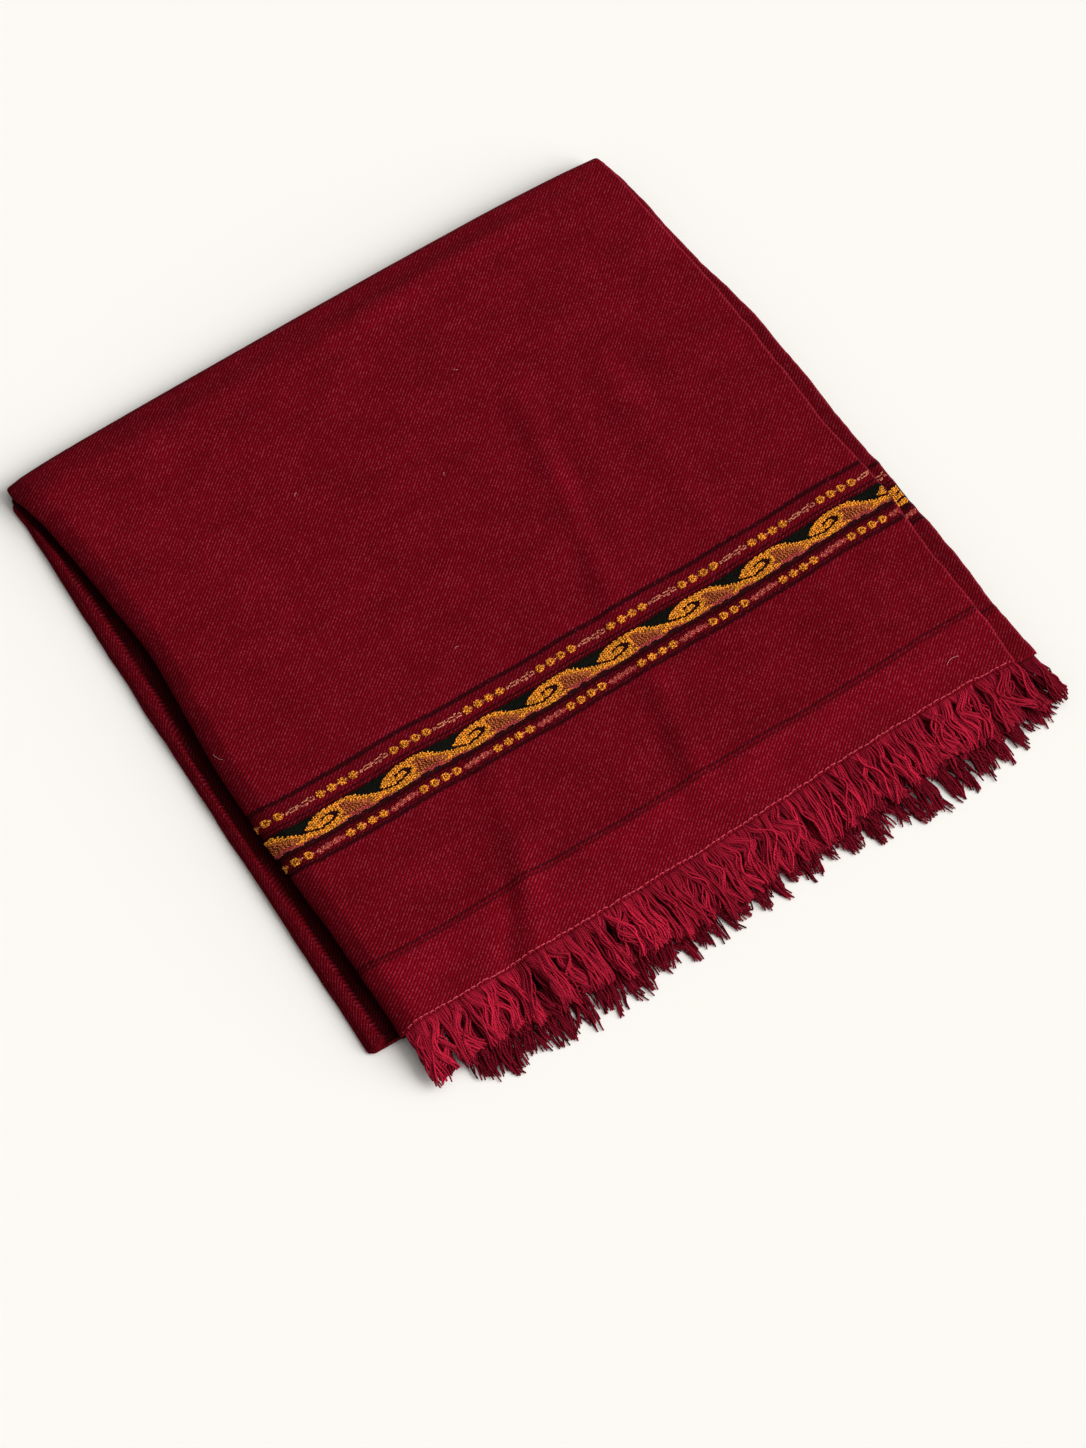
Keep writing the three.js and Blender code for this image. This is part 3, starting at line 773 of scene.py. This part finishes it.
repeat = 59.8
leaf_tip = -45.0  # where one curled leaf's tip lies along the hem
band_chart = (
    "kkkkkkkmmmmmmmmGGmGGGmGGGGmGGmmmkkkkkkkkkkkkkkkkkk",
    "kkkkkkkmmmGGGGGGGGGGGGGGGGGGGGGGGkkkkkkkkkkkkkkkkk",
    "kkkkkkmmGGGGGGGGGGGGGGGGGGGGGGGGGGkkkkkkkkkkkkkkkk",
    "kkkkkmGGGGGGGGGGGGGGGGGGGGttGGGGGGGGkkkkkkkkkkkkkk",
    "kkkkGGGGGGGGGGGGGGGGGGGGtrtrttGGGGGGkkkkkkkkkkkkkk",
    "kkkGGGGGGGGGGGmmmmmGGGGGrtrtrttGGGGGGGkkkkkkkkkkkk",
    "kkGGGGGGGGGmmmmmmmmmmGGGtrtrtrtttGGGGGkkkkkkkkkkkk",
    "kGGGGGGGGGGmmGGGGmmmmmGGGtrtrtrttttGGGGGkkkkkkkkkk",
    "GGGGGGGGGGGmGGGGGGmmmmGGGrtrtrtrtttttGGGGGkkkkkkkk",
    "GGGGGGGGGGGGGGGGGGmmmmGGGtrtrtrtrtttttGGGGGGkkkkkk",
    "mmGGGGGGGGGGGGGGGmmmmGGGGrtrtrtrtrttttttGGGGGGkkkk",
    "kmmmGGGGGGGGGGGmmmmmGGGGtrtrtrtrtrtrttttttGGGGGGkk",
    "GGmmmmmGGGmmmmmmmmGGGGGtrtrtrtrtrtrtrttttttGGGGGGG",
    "GGGGmmmmmmmmmmmGGGGGGGtrtrtrtrtrtrtrtrttttttGGGGGG",
    "GGGGGGGGmmmGGGGGGGGGGtrtrtrtrtrtrtrtrtrtttttGGGGGG",
    "GGGGGGGGGGGGGGGGGGGGGGGGtppppptptpppppppptGGGGGGGG",
    "tGGGGGGGGGGGGGGGGGGGGGGGGGGtpppppppppppttGGGGGGGtt",
    "ppttGGGGGGGGGGGGGGGGGGttpppppppppppppppppttttppppp",
    "mmpppptttGGGGGGGtttpppppmmmmmmpppmmmmppppppppmmmmm",
)
upper_knot_chart = (
    " gGGg    gGGg    gGGg    gGGg                   bb    ",
    "dGGGGd  dGgGGd  dGGGGd  dGGgGd     bbbbbb  bbbbb  bb  ",
    "GGrgGGb GGrGGGbbGGgrGGb GGrgGGb bbb    bbbb     pp  b ",
    "dGGGGd  dGGGGd  dGGgGd  dGGGGd bb bbbbbb  bbpbb bbbb  ",
    " gGGg    gGGg    gGGg    gGGg                bb       ",
)
lower_knot_chart = (
    " gGGg    gGGg    gGGg    gGGg           pp    pppp    ",
    "dGGgGd  dGGGGd  dGGGGd  dGgGGd   pp pbppppbppbpppbppp ",
    "GGgrGGb GGrgGGb GGrGGGbbGGgrGGb pbpppbpppbppppbpppbppp",
    "dGGGGd  dGgGGd  dGGGGd  dGGGGd  ppbppppbppp pbppp pp  ",
    " gGGg    gGGg    gGGg    gGGg     ppp  pp             ",
)
yarn_tints = {
    "G": (1.08, 0.415, 0.040), "g": (0.90, 0.270, 0.034), "t": (0.62, 0.165, 0.046),
    "r": (0.22, 0.032, 0.014), "b": (0.68, 0.225, 0.130), "p": (0.52, 0.068, 0.062),
    "k": (0.0050, 0.0085, 0.0060), "m": (0.030, 0.0026, 0.0050), "d": (0.46, 0.115, 0.014),
}
yarn_lifts = {
    "G": 0.95, "g": 0.7, "d": 0.45, "t": 0.55, "r": 0.34, "b": 0.5, "p": 0.4, "k": 0.28, "m": 0.2,
}
gold_yarn = start_material("border wool")
u, v, lift = cloth_place()
strand_rate, strand_slant, strand_by = 9.0, 0.8, 0.22
yarn_fluff_size, yarn_fluff_by, yarn_least = (0.5, 0.4), 0.5, 0.62
yarn_rough, yarn_shine, yarn_bump = 0.9, 0.04, 0.00012
strands = wave((u + v * strand_slant) * strand_rate)
yarn_fluff = noise(u, v, yarn_fluff_size)
# Each float's tint holds its yarn's colour and the painted shade at its foot.
yarn_colour = brighten(tint_with_painted_shade(), yarn_least + strands * strand_by + yarn_fluff * yarn_fluff_by)
finish_shader(gold_yarn, yarn_colour, yarn_rough, yarn_shine, strands + yarn_fluff, yarn_bump)


def chart_stitches(chart, start_u, top_v, cell_v, from_u, to_u):
    """Where the floats of a chart lie, repeated along the cloth, and each one's yarn. Every
    fourth gold float is of a darker yarn."""
    columns = max(len(row) for row in chart)
    cell_u = repeat / columns
    first = int((from_u - start_u) // cell_u)
    last = int((to_u - start_u) // cell_u)
    places, yarns = [], []
    for row, line in enumerate(chart):
        stagger = 0.5 * (row % 2)
        for count in range(first, last + 1):
            yarn = line[count % columns] if count % columns < len(line) else " "
            if yarn == "G" and (count + 2 * row) % 4 == 0:
                yarn = "d"
            if yarn != " ":
                places.append((start_u + (count + stagger) * cell_u, top_v - row * cell_v))
                yarns.append(yarn)
    return np.array(places), np.array(yarns), (cell_u, cell_v)


# A float is a small pillow: its foot lies in the cloth and its top is drawn in. Its halves are
# shares of a cell of the chart. Its place, size, slant, height and brightness vary a little.
float_corners = np.array([[-1, -1], [1, -1], [1, 1], [-1, 1]] * 2)  # the foot's, then the top's
float_faces = ((3, 2, 1, 0), (0, 1, 5, 4), (1, 2, 6, 5), (2, 3, 7, 6), (3, 0, 4, 7), (4, 5, 6, 7))
# Painted shade: each float is coloured darker towards its foot, in the gaps between floats.
foot_depth, foot_painted_shade, top_share = 0.35, 0.14, 0.58
float_halves, float_sizes = (0.53, 0.52), (0.82, 1.15)
float_wander, float_slant, float_heights, float_shades = 0.10, 0.10, (0.8, 1.2), (0.55, 1.42)


def make_floats(name, runs, seed):
    """Joins the floats of some charts into one mesh. Each run holds a chart's stitches, their
    yarns, the size of a cell and the function that lays them on the cloth."""
    rng = np.random.default_rng(seed)
    side_u, side_v = float_corners.T
    on_top = np.arange(8) > 3
    # Painted shade at the foot of each float.
    draw_in, shade = np.where(on_top, top_share, 1.0), np.where(on_top, 1.0, foot_painted_shade)
    points, cloth, tints = [], [], []
    for places, yarns, cell, lay in runs:
        count = len(places)
        centre = places + rng.normal(0, float_wander, (count, 2))
        half = np.array(cell) * float_halves * rng.uniform(*float_sizes, (count, 2))
        slant = rng.normal(0, float_slant, (count, 1))
        rise = np.array([yarn_lifts[yarn] for yarn in yarns]) * rng.uniform(*float_heights, count)
        colour = np.array([yarn_tints[yarn] for yarn in yarns])
        colour = colour * rng.uniform(*float_shades, (count, 1))
        aside = side_u * half[:, :1]
        u = centre[:, :1] + aside * draw_in
        v = centre[:, 1:] + side_v * half[:, 1:] * draw_in + slant * aside
        points.append(lay(u, v, np.where(on_top, rise[:, None], -foot_depth)).reshape(-1, 3))
        cloth.append(np.stack([u, v, rise[:, None] + 0 * u], -1).reshape(-1, 3))
        tints.append(np.insert((colour[:, None] * shade[:, None]).reshape(-1, 3), 3, 1, axis=1))
    points, cloth, tints = (np.concatenate(parts) for parts in (points, cloth, tints))
    corners = np.arange(len(points) // 8)[:, None, None] * 8 + np.array(float_faces)
    return make_object(name, points, corners.reshape(-1, 4), gold_yarn, cloth, tints)


# Where the charts are laid: each layer's stretch and edge, and each chart's first stitch, upper
# row, height of a row and mesh. The floats stop short of the selvedge.
selvedge_clear, knot_cell = 1.4, 1.1
band_cell = (band_top - band_foot) / len(band_chart)
band_runs, knot_runs = [], []
layers = ((-262.0, 260.0, on_leaf, top_edge_at), (254.0, 272.0, on_margin, under_edge_at))
charts = (
    (band_chart, leaf_tip, band_top, band_cell, band_runs),
    (upper_knot_chart, leaf_tip + 20.4, upper_knots + 2 * knot_cell, knot_cell, knot_runs),
    (lower_knot_chart, leaf_tip + 21.4, lower_knots + 2 * knot_cell, knot_cell, knot_runs),
)
for from_u, to_u, lay, edge_at in layers:
    for chart, start, row, cell_height, runs in charts:
        places, yarns, cell = chart_stitches(chart, start, row, cell_height, from_u, to_u)
        keep = places[:, 0] < edge_at(places[:, 1]) - selvedge_clear
        runs.append((places[keep], yarns[keep], cell, lay))
band = make_floats("border_band", band_runs, seed=51)
knots = make_floats("border_knots", knot_runs, seed=52)
for piece in (band, knots):
    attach(piece, "root")


# ---------------- Hem thread and lint
# A pale thread holds the last weft row, so that the cloth doesn't ravel into the fringe. A few
# loose fibres lie on the nap.

thread_wool = start_material("pale hem thread")
along, round_it, number = cloth_place()
twist_rate, thread_dark, thread_pale = 4.2, (0.38, 0.022, 0.045, 1), (0.66, 0.10, 0.14, 1)
thread_rough, thread_shine = 0.9, 0.05
twist = wave(along * twist_rate + round_it)
finish_shader(thread_wool, colour_mix(twist, thread_dark, thread_pale), thread_rough, thread_shine)
lint_wool = start_material("pale lint")
lint_colour, lint_patches, lint_rough, lint_shine = (0.62, 0.30, 0.26), (2, 2), 0.8, 0.5
along, round_it, number = cloth_place()
lint_shade = noise(along, round_it, lint_patches) + 0.5
finish_shader(lint_wool, brighten(lint_colour, lint_shade), lint_rough, lint_shine)


def make_yarns(name, paths, radii, sides, material, tint=None):
    """Joins round yarns, closed at both ends, into one mesh. paths holds each yarn's points, and
    radii one radius for all or one for each point."""
    count, steps = paths.shape[:2]
    way = unit(np.gradient(paths, axis=1) + 1e-9)
    nearly_up = np.array([0.02, 0.01, 1.0])  # so that no yarn runs along it
    aside = unit(np.cross(way, nearly_up))
    up = np.cross(aside, way)
    turn = np.arange(sides) * 2 * math.pi / sides + math.pi / 2
    ring = np.cos(turn)[:, None] * aside[:, :, None, :] + np.sin(turn)[:, None] * up[:, :, None, :]
    points = paths[:, :, None, :] + ring * np.asarray(radii)[..., None, None]
    at = np.arange(count * steps * sides).reshape(count, steps, sides)
    ahead = np.roll(at, -1, axis=2)
    walls = np.stack([at[:, :-1], at[:, 1:], ahead[:, 1:], ahead[:, :-1]], -1).reshape(-1, 4)
    caps = np.concatenate([at[:, 0], at[:, -1, ::-1]])
    strides = np.diff(paths, axis=1, prepend=paths[:, :1])
    length = np.cumsum(np.linalg.norm(strides, axis=-1), axis=1)
    number = np.arange(count)[:, None, None]
    cloth = np.stack(np.broadcast_arrays(length[..., None], turn, number), -1)
    if tint is not None:
        tint = np.broadcast_to(tint[:, :, None, :], points.shape[:3] + (4,)).reshape(-1, 4)
    return make_object(name, points.reshape(-1, 3), walls.tolist() + caps.tolist(), material,
                       cloth.reshape(-1, 3), tint)


# The thread runs just inside the hem, in long stitches over the warp and short ones under it.
thread_radius, thread_sides, thread_points, thread_ends = 0.38, 5, 900, (-250, 253)
thread_inset, thread_hills = 1.3, ((0.55, 6, 62), (0.3, 2.5, 63))
stitch_rate, stitch_hills, stitch_turn = 1.35, ((2, 9, 61),), -0.35
stitch_over, stitch_under = 0.28, -0.6
thread_u = np.linspace(*thread_ends, thread_points)
stitches = np.sin(thread_u * stitch_rate + hills(thread_u, 0, stitch_hills))
thread_lift = np.where(stitches > stitch_turn, stitch_over, stitch_under)
thread_y = hem_at(thread_u) + thread_inset + hills(thread_u, 0, thread_hills)
thread_path = on_leaf(thread_u, thread_y - weft_rise(thread_u), thread_lift)
thread = make_yarns("hem_thread", thread_path[None], thread_radius, thread_sides, thread_wool)

# Each fibre: its middle's place along the hem and up the cloth, its length, slant and bow.
lint_radius, lint_sides, lint_points, lint_lift, lint_arch = 0.14, 3, 14, 0.2, 0.3
lint_fibres = (
    (220, -232, 11, 0.1, 1.6), (-242, -13, 8, 1.9, 0.8), (64, 160, 4, 2.4, 0.7),
    (10, 92, 3, 1.0, 0.5), (-60, -30, 3, 0.2, 0.6), (-86, 137, 3, 0.6, 0.6),
)
share = np.linspace(-0.5, 0.5, lint_points)
arch = np.cos(share * math.pi)
fibres = []
for place_u, place_v, length, slant, bow in lint_fibres:
    away = bow * arch
    u = place_u + share * length * math.cos(slant) - away * math.sin(slant)
    v = place_v + share * length * math.sin(slant) + away * math.cos(slant)
    fibres.append(on_leaf(u, v, lint_lift + lint_arch * arch))
lint = make_yarns("lint_fibres", np.array(fibres), lint_radius, lint_sides, lint_wool)
for piece in (thread, lint):
    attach(piece, "root")


# ---------------- Fringes
# The warp, left long past each hem. Its soft two-ply yarns gather into locks that sway, cross
# and fan out at their cut ends. The top layer's fringe hides the one below it for most of its
# length, and the fringe of the lower hem spreads out over the floor.

fringe_wool = start_material("loose wool yarn")
along, round_it, number = cloth_place()
ply_rate, ply_start, ply_by, ply_least = 3.1, 1.7, 0.4, 0.08
ply_dark, ply_bright = (0.23, 0.0032, 0.0140, 1), (0.68, 0.026, 0.072, 1)
ply = wave(along * ply_rate + round_it + number * ply_start)
patch_size, patches_by, patch_least = (6, 0.37), 0.64, 0.68
fringe_rough, fringe_shine, fringe_bump = 0.92, 0.04, 0.00015
patches = noise(along, number, patch_size)
fringe_colour = colour_mix(ply * ply_by + ply_least, ply_dark, ply_bright)
fringe_colour = brighten(fringe_colour, patch_least + patches * patches_by)
# The yarns' tint multiplies in their painted shade and light.
fringe_colour = colour_mix(1.0, fringe_colour, tint_with_painted_shade(), "MULTIPLY")
finish_shader(fringe_wool, fringe_colour, fringe_rough, fringe_shine, ply + patches, fringe_bump)


# A lock: its width and reach as shares of the usual ones, how soon the next one starts, how often
# it waves, how it gathers, opens out and hooks at its tip, and its brightness.
lock_widths, lock_reaches, lock_step, yarn_pitch = (0.5, 1.5), (0.90, 1.08), 0.88, 1.9
lock_turns, lock_gathers, lock_opening, lock_hook = (0.5, 1.45), (0.0, 0.14), 0.22, 0.6
lock_shades, leave_rate, curl_slack, slack_curl = (0.78, 1.18), 2.5, 0.012, 5
waist_rate, waist_power, lean_power, fall_end = 0.8, 1.5, 1.3, 1.1

# A layer of a lock: how far it slips aside, how far its wave lags, and how far it lies below
# the layer before it. The middle of a lock stands higher than its edges.
layer_slip, layer_lag, layer_drop, crown, hump_power = 0.5, 0.6, 1.3, 0.8, 0.7

# A yarn: its scatter, longest reach, ripples, thickness and brightness. One in twenty strays
# over the rest, in wider and slower ripples.
yarn_sides, yarn_scatter, yarn_longest, stray_share, stray_lift = 4, 0.14, 1.03, 0.05, 1.6
ripple_sizes, own_ripple, stray_ripple = (0.4, 1.4), 0.9, 3.0
own_ripples, stray_ripples = (1.0, 3.0), (0.6, 1.3)
yarn_lift_scatter, tip_scatter, floor_clear = 0.3, 0.4, 0.95
yarn_widths, tip_thinning, yarn_shades = (0.85, 1.12), 0.2, (0.7, 1.2)
# Painted shade and light: a lock's edge yarns are coloured darker and its middle ones brighter.
lock_edge_painted_shade, lock_crest_painted_light = 0.66, 0.52

# A parting pushes the tips away to both sides.
parting_push, parting_width = 5.0, 8


def make_fringe(name, seed, hem_point, hang, *, ends, lock_width, layers, steps, radius, tip_z,
                fall, sway, curl, puff, spread, ragged, brightness_and_painted_shade, layer_painted_shade, tip_painted_light,
                partings=()):
    """Locks of yarn along a hem. The yarns of a lock lie side by side in a few layers and wave as
    one. A few stray ones cross over the rest."""
    rng = np.random.default_rng(seed)
    t = np.linspace(0, 1, steps)
    leave = np.minimum(t * leave_rate, 1)
    hump = np.sin(np.pi * t) ** hump_power
    waist = np.sin(np.pi * np.clip(t * waist_rate, 0, 1)) ** waist_power
    paths, radii, shades = [], [], []
    root = ends[0]
    while root < ends[1]:
        width = min(lock_width * rng.uniform(*lock_widths), ends[1] - root + 0.5)
        count = max(2, int(round(width / (radius * yarn_pitch))))
        middle_x = root + width / 2
        share_along = (middle_x - ends[0]) / (ends[1] - ends[0])
        drift = smooth_read(hang, share_along, "drift") + rng.normal(0, sway)
        reach = smooth_read(hang, share_along, "reach")
        bend = np.clip(rng.normal(0, curl), -2 * curl, 2 * curl)
        turns, phase = rng.uniform(*lock_turns), rng.uniform(0, 2 * math.pi)
        slack = 1 - curl_slack * min(abs(bend), slack_curl) * (1 + turns)
        lock_reach = reach * rng.uniform(*lock_reaches)
        level = rng.uniform(0, puff)
        close = 1 - rng.uniform(*lock_gathers) * waist
        close = close * (1 + rng.normal(spread, lock_opening) * t**3)
        hook = rng.normal(0, lock_hook) * curl * np.clip(t * 3 - 2, 0, 1) ** 2
        lock_shade = brightness_and_painted_shade * rng.uniform(*lock_shades)
        lean = drift * t**lean_power + hook
        for parting in partings:
            aside = middle_x + drift - parting
            push = parting_push * math.exp(-((aside / parting_width) ** 2))
            lean = lean + math.copysign(push, aside) * t**2
        for layer in range(layers):
            slip = rng.normal(0, layer_slip)
            lag = phase + rng.normal(0, layer_lag)
            bow = bend * (np.sin(turns * 2 * np.pi * t + lag) - math.sin(lag)) * leave
            for yarn in range(count):
                share = (yarn + 0.5 + rng.normal(0, yarn_scatter)) / count - 0.5
                stray = rng.uniform() < stray_share
                own = lock_reach * rng.uniform(1 - ragged, yarn_longest)
                ripple = (stray_ripple if stray else own_ripple) * rng.uniform(*ripple_sizes)
                ripples = rng.uniform(*(stray_ripples if stray else own_ripples)) * 2 * np.pi
                own_wave = ripple * np.sin(ripples * t + rng.uniform(0, 6.3)) * leave
                x = middle_x + (share * width + slip) * close + bow + own_wave + lean
                root_y, root_z = hem_point(middle_x + share * width)
                y = root_y - own * t * slack
                z = blend(root_z, tip_z, np.clip(own * t / reach, 0, fall_end) ** fall)
                over = level - layer * layer_drop + rng.normal(0, yarn_lift_scatter)
                over = over + stray_lift * stray + crown * math.cos(math.pi * share)
                z = z + over * hump + rng.normal(0, tip_scatter) * t**2
                paths.append(np.stack([x, y, np.maximum(z, floor_clear)], -1))
                radii.append(radius * rng.uniform(*yarn_widths) * (1 - tip_thinning * t**8))
                # Painted shade: each layer under the top one is coloured darker, and a lock's
                # edges too.
                shade = lock_shade * rng.uniform(*yarn_shades) * (1 - layer_painted_shade * layer)
                shade = shade * (lock_edge_painted_shade + lock_crest_painted_light * math.cos(math.pi * share))
                # Painted light: the tips are coloured brighter.
                shades.append(grey_tint(shade * (1 + tip_painted_light * t**4)))
        root += width * lock_step
    return make_yarns(name, np.array(paths), np.array(radii), yarn_sides, fringe_wool,
                      np.array(shades))


# Where each fringe's yarns leave the cloth: how far inside the hem, and how high.
top_root = (0.6, pack_height - solid_wall + 0.35)
return_root = (0.4, pack_height - solid_wall / 2 - layer_pitch - 1.0)
lower_root = (0.2, 12.3)


def top_hem(x):
    y = hem_at(x)
    return y + top_root[0], top_root[1] + relief(x, y)


def return_hem(x):
    y = hem_at(x)
    return y + return_root[0], return_root[1] + relief(x, y)


def lower_hem(x):
    return lower_front_at(x) + lower_root[0], lower_root[1]


# How each fringe hangs, from its left end to its right one: how far its tips lean along the
# hem, and how far they reach from it.
top_hang = {"share": (0, 0.1, 0.35, 0.6, 0.8, 1), "drift": (-4, 1.5, 3, 2, -1, 3),
            "reach": (43, 43, 44, 43, 42, 40)}
return_hang = {"share": (0, 0.1, 0.35, 0.6, 0.8, 0.94, 1), "drift": (-4, 1.5, 3, 2, 0, 3, 3),
               "reach": (42, 42, 42, 42, 42, 40, 36)}
low_hang = {"share": (0, 0.15, 0.3, 0.5, 0.6, 0.72, 0.85, 1), "drift": (-6, -3, 0, 2, 3, 3, 2, 0),
            "reach": (62, 64, 61, 56, 55, 60, 61, 44)}
# The return and lower fringes are coloured darker through their brightness, as painted shade, and
# their tips brighter, as painted light.
upper_fringe = make_fringe(
    "top_hem_fringe", 71, top_hem, top_hang, ends=(-250.0, 255.5), lock_width=5.6, layers=3,
    steps=17, radius=0.72, tip_z=8.0, fall=1.7, sway=1.9, curl=3.1, puff=2.6, spread=0.0,
    ragged=0.08, brightness_and_painted_shade=0.88, layer_painted_shade=0.22, tip_painted_light=0.0,
    partings=(246.0, 139.0, 1.0, -158.0),
)
return_fringe = make_fringe(
    "return_hem_fringe", 72, return_hem, return_hang, ends=(-247.0, 271.0), lock_width=6.0,
    layers=3, steps=12, radius=0.74, tip_z=5.0, fall=1.15, sway=1.4, curl=2.4, puff=0.8,
    spread=0.1, ragged=0.10, brightness_and_painted_shade=0.48, layer_painted_shade=0.3, tip_painted_light=0.1,
    partings=(246.0, 60.0),
)
lower_fringe = make_fringe(
    "lower_hem_fringe", 73, lower_hem, low_hang, ends=(-218.0, 262.0), lock_width=4.4, layers=3,
    steps=13, radius=0.68, tip_z=1.3, fall=0.42, sway=1.8, curl=2.6, puff=0.8, spread=0.32,
    ragged=0.14, brightness_and_painted_shade=0.29, layer_painted_shade=0.25, tip_painted_light=0.7,
    partings=(222.0, 64.0),
)
for piece, node in ((upper_fringe, "upper_fringe"), (return_fringe, "return_fringe"),
                    (lower_fringe, "lower_fringe")):
    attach(piece, "root")
    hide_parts(node)


# ---------------- Floor, light and camera
# A plain cream floor. A low soft lamp and a wide screen light it from the camera's right, and the
# room lights it from all round.

floor_colour, floor_rough, floor_shine = (0.852, 0.840, 0.811, 1), 0.95, 0.1
floor_half = 9.0  # metres
floor_paper = start_material("cream paper")
finish_shader(floor_paper, floor_colour, floor_rough, floor_shine)
corners = np.array([[-1, -1, 0], [1, -1, 0], [1, 1, 0], [-1, 1, 0]]) * floor_half / mm
floor = make_object("floor", corners - middle, [(0, 1, 2, 3)], floor_paper)

room_colour, room_strength = (1.0, 0.99, 0.975, 1), 0.27
room = bpy.data.worlds.new("room")
room.use_nodes = True
backdrop = room.node_tree.nodes["Background"]
backdrop.inputs["Color"].default_value = room_colour
backdrop.inputs["Strength"].default_value = room_strength
bpy.context.scene.world = room

# Each lamp: its turn from +X towards +Y and its height above the floor, both in degrees, its
# strength, and how wide it looks from the floor.
lamp_colour = (1.0, 0.988, 0.97)
for name, turn, height, strength, width in (
    ("soft lamp", -43.0, 31.0, 3.86, 54.0), ("wide screen", -35.0, 52.0, 0.98, 95.0),
):
    lamp = bpy.data.lights.new(name, "SUN")
    lamp.energy = strength
    lamp.angle = math.radians(width)
    lamp.color = lamp_colour
    lamp_object = bpy.data.objects.new(name, lamp)
    lamp_object.rotation_euler = (0, math.radians(90 - height), math.radians(turn))
    bpy.context.scene.collection.objects.link(lamp_object)

camera_turn, camera_rise, camera_distance = -33.8, 61.4, 4.0
camera_aim = (-0.03686, -0.07734, 0.0)
turn, rise = math.radians(camera_turn), math.radians(camera_rise)
lens = bpy.data.cameras.new("camera")
lens.lens = 143.5
lens.sensor_width = 36
camera = bpy.data.objects.new("camera", lens)
camera.location = (
    camera_aim[0] + camera_distance * math.sin(turn) * math.cos(rise),
    camera_aim[1] - camera_distance * math.cos(turn) * math.cos(rise),
    camera_aim[2] + camera_distance * math.sin(rise),
)
camera.rotation_euler = (math.pi / 2 - rise, 0, turn)
bpy.context.scene.collection.objects.link(camera)
bpy.context.scene.camera = camera
bpy.context.scene.view_settings.view_transform = "Standard"

bpy.context.view_layer.update()
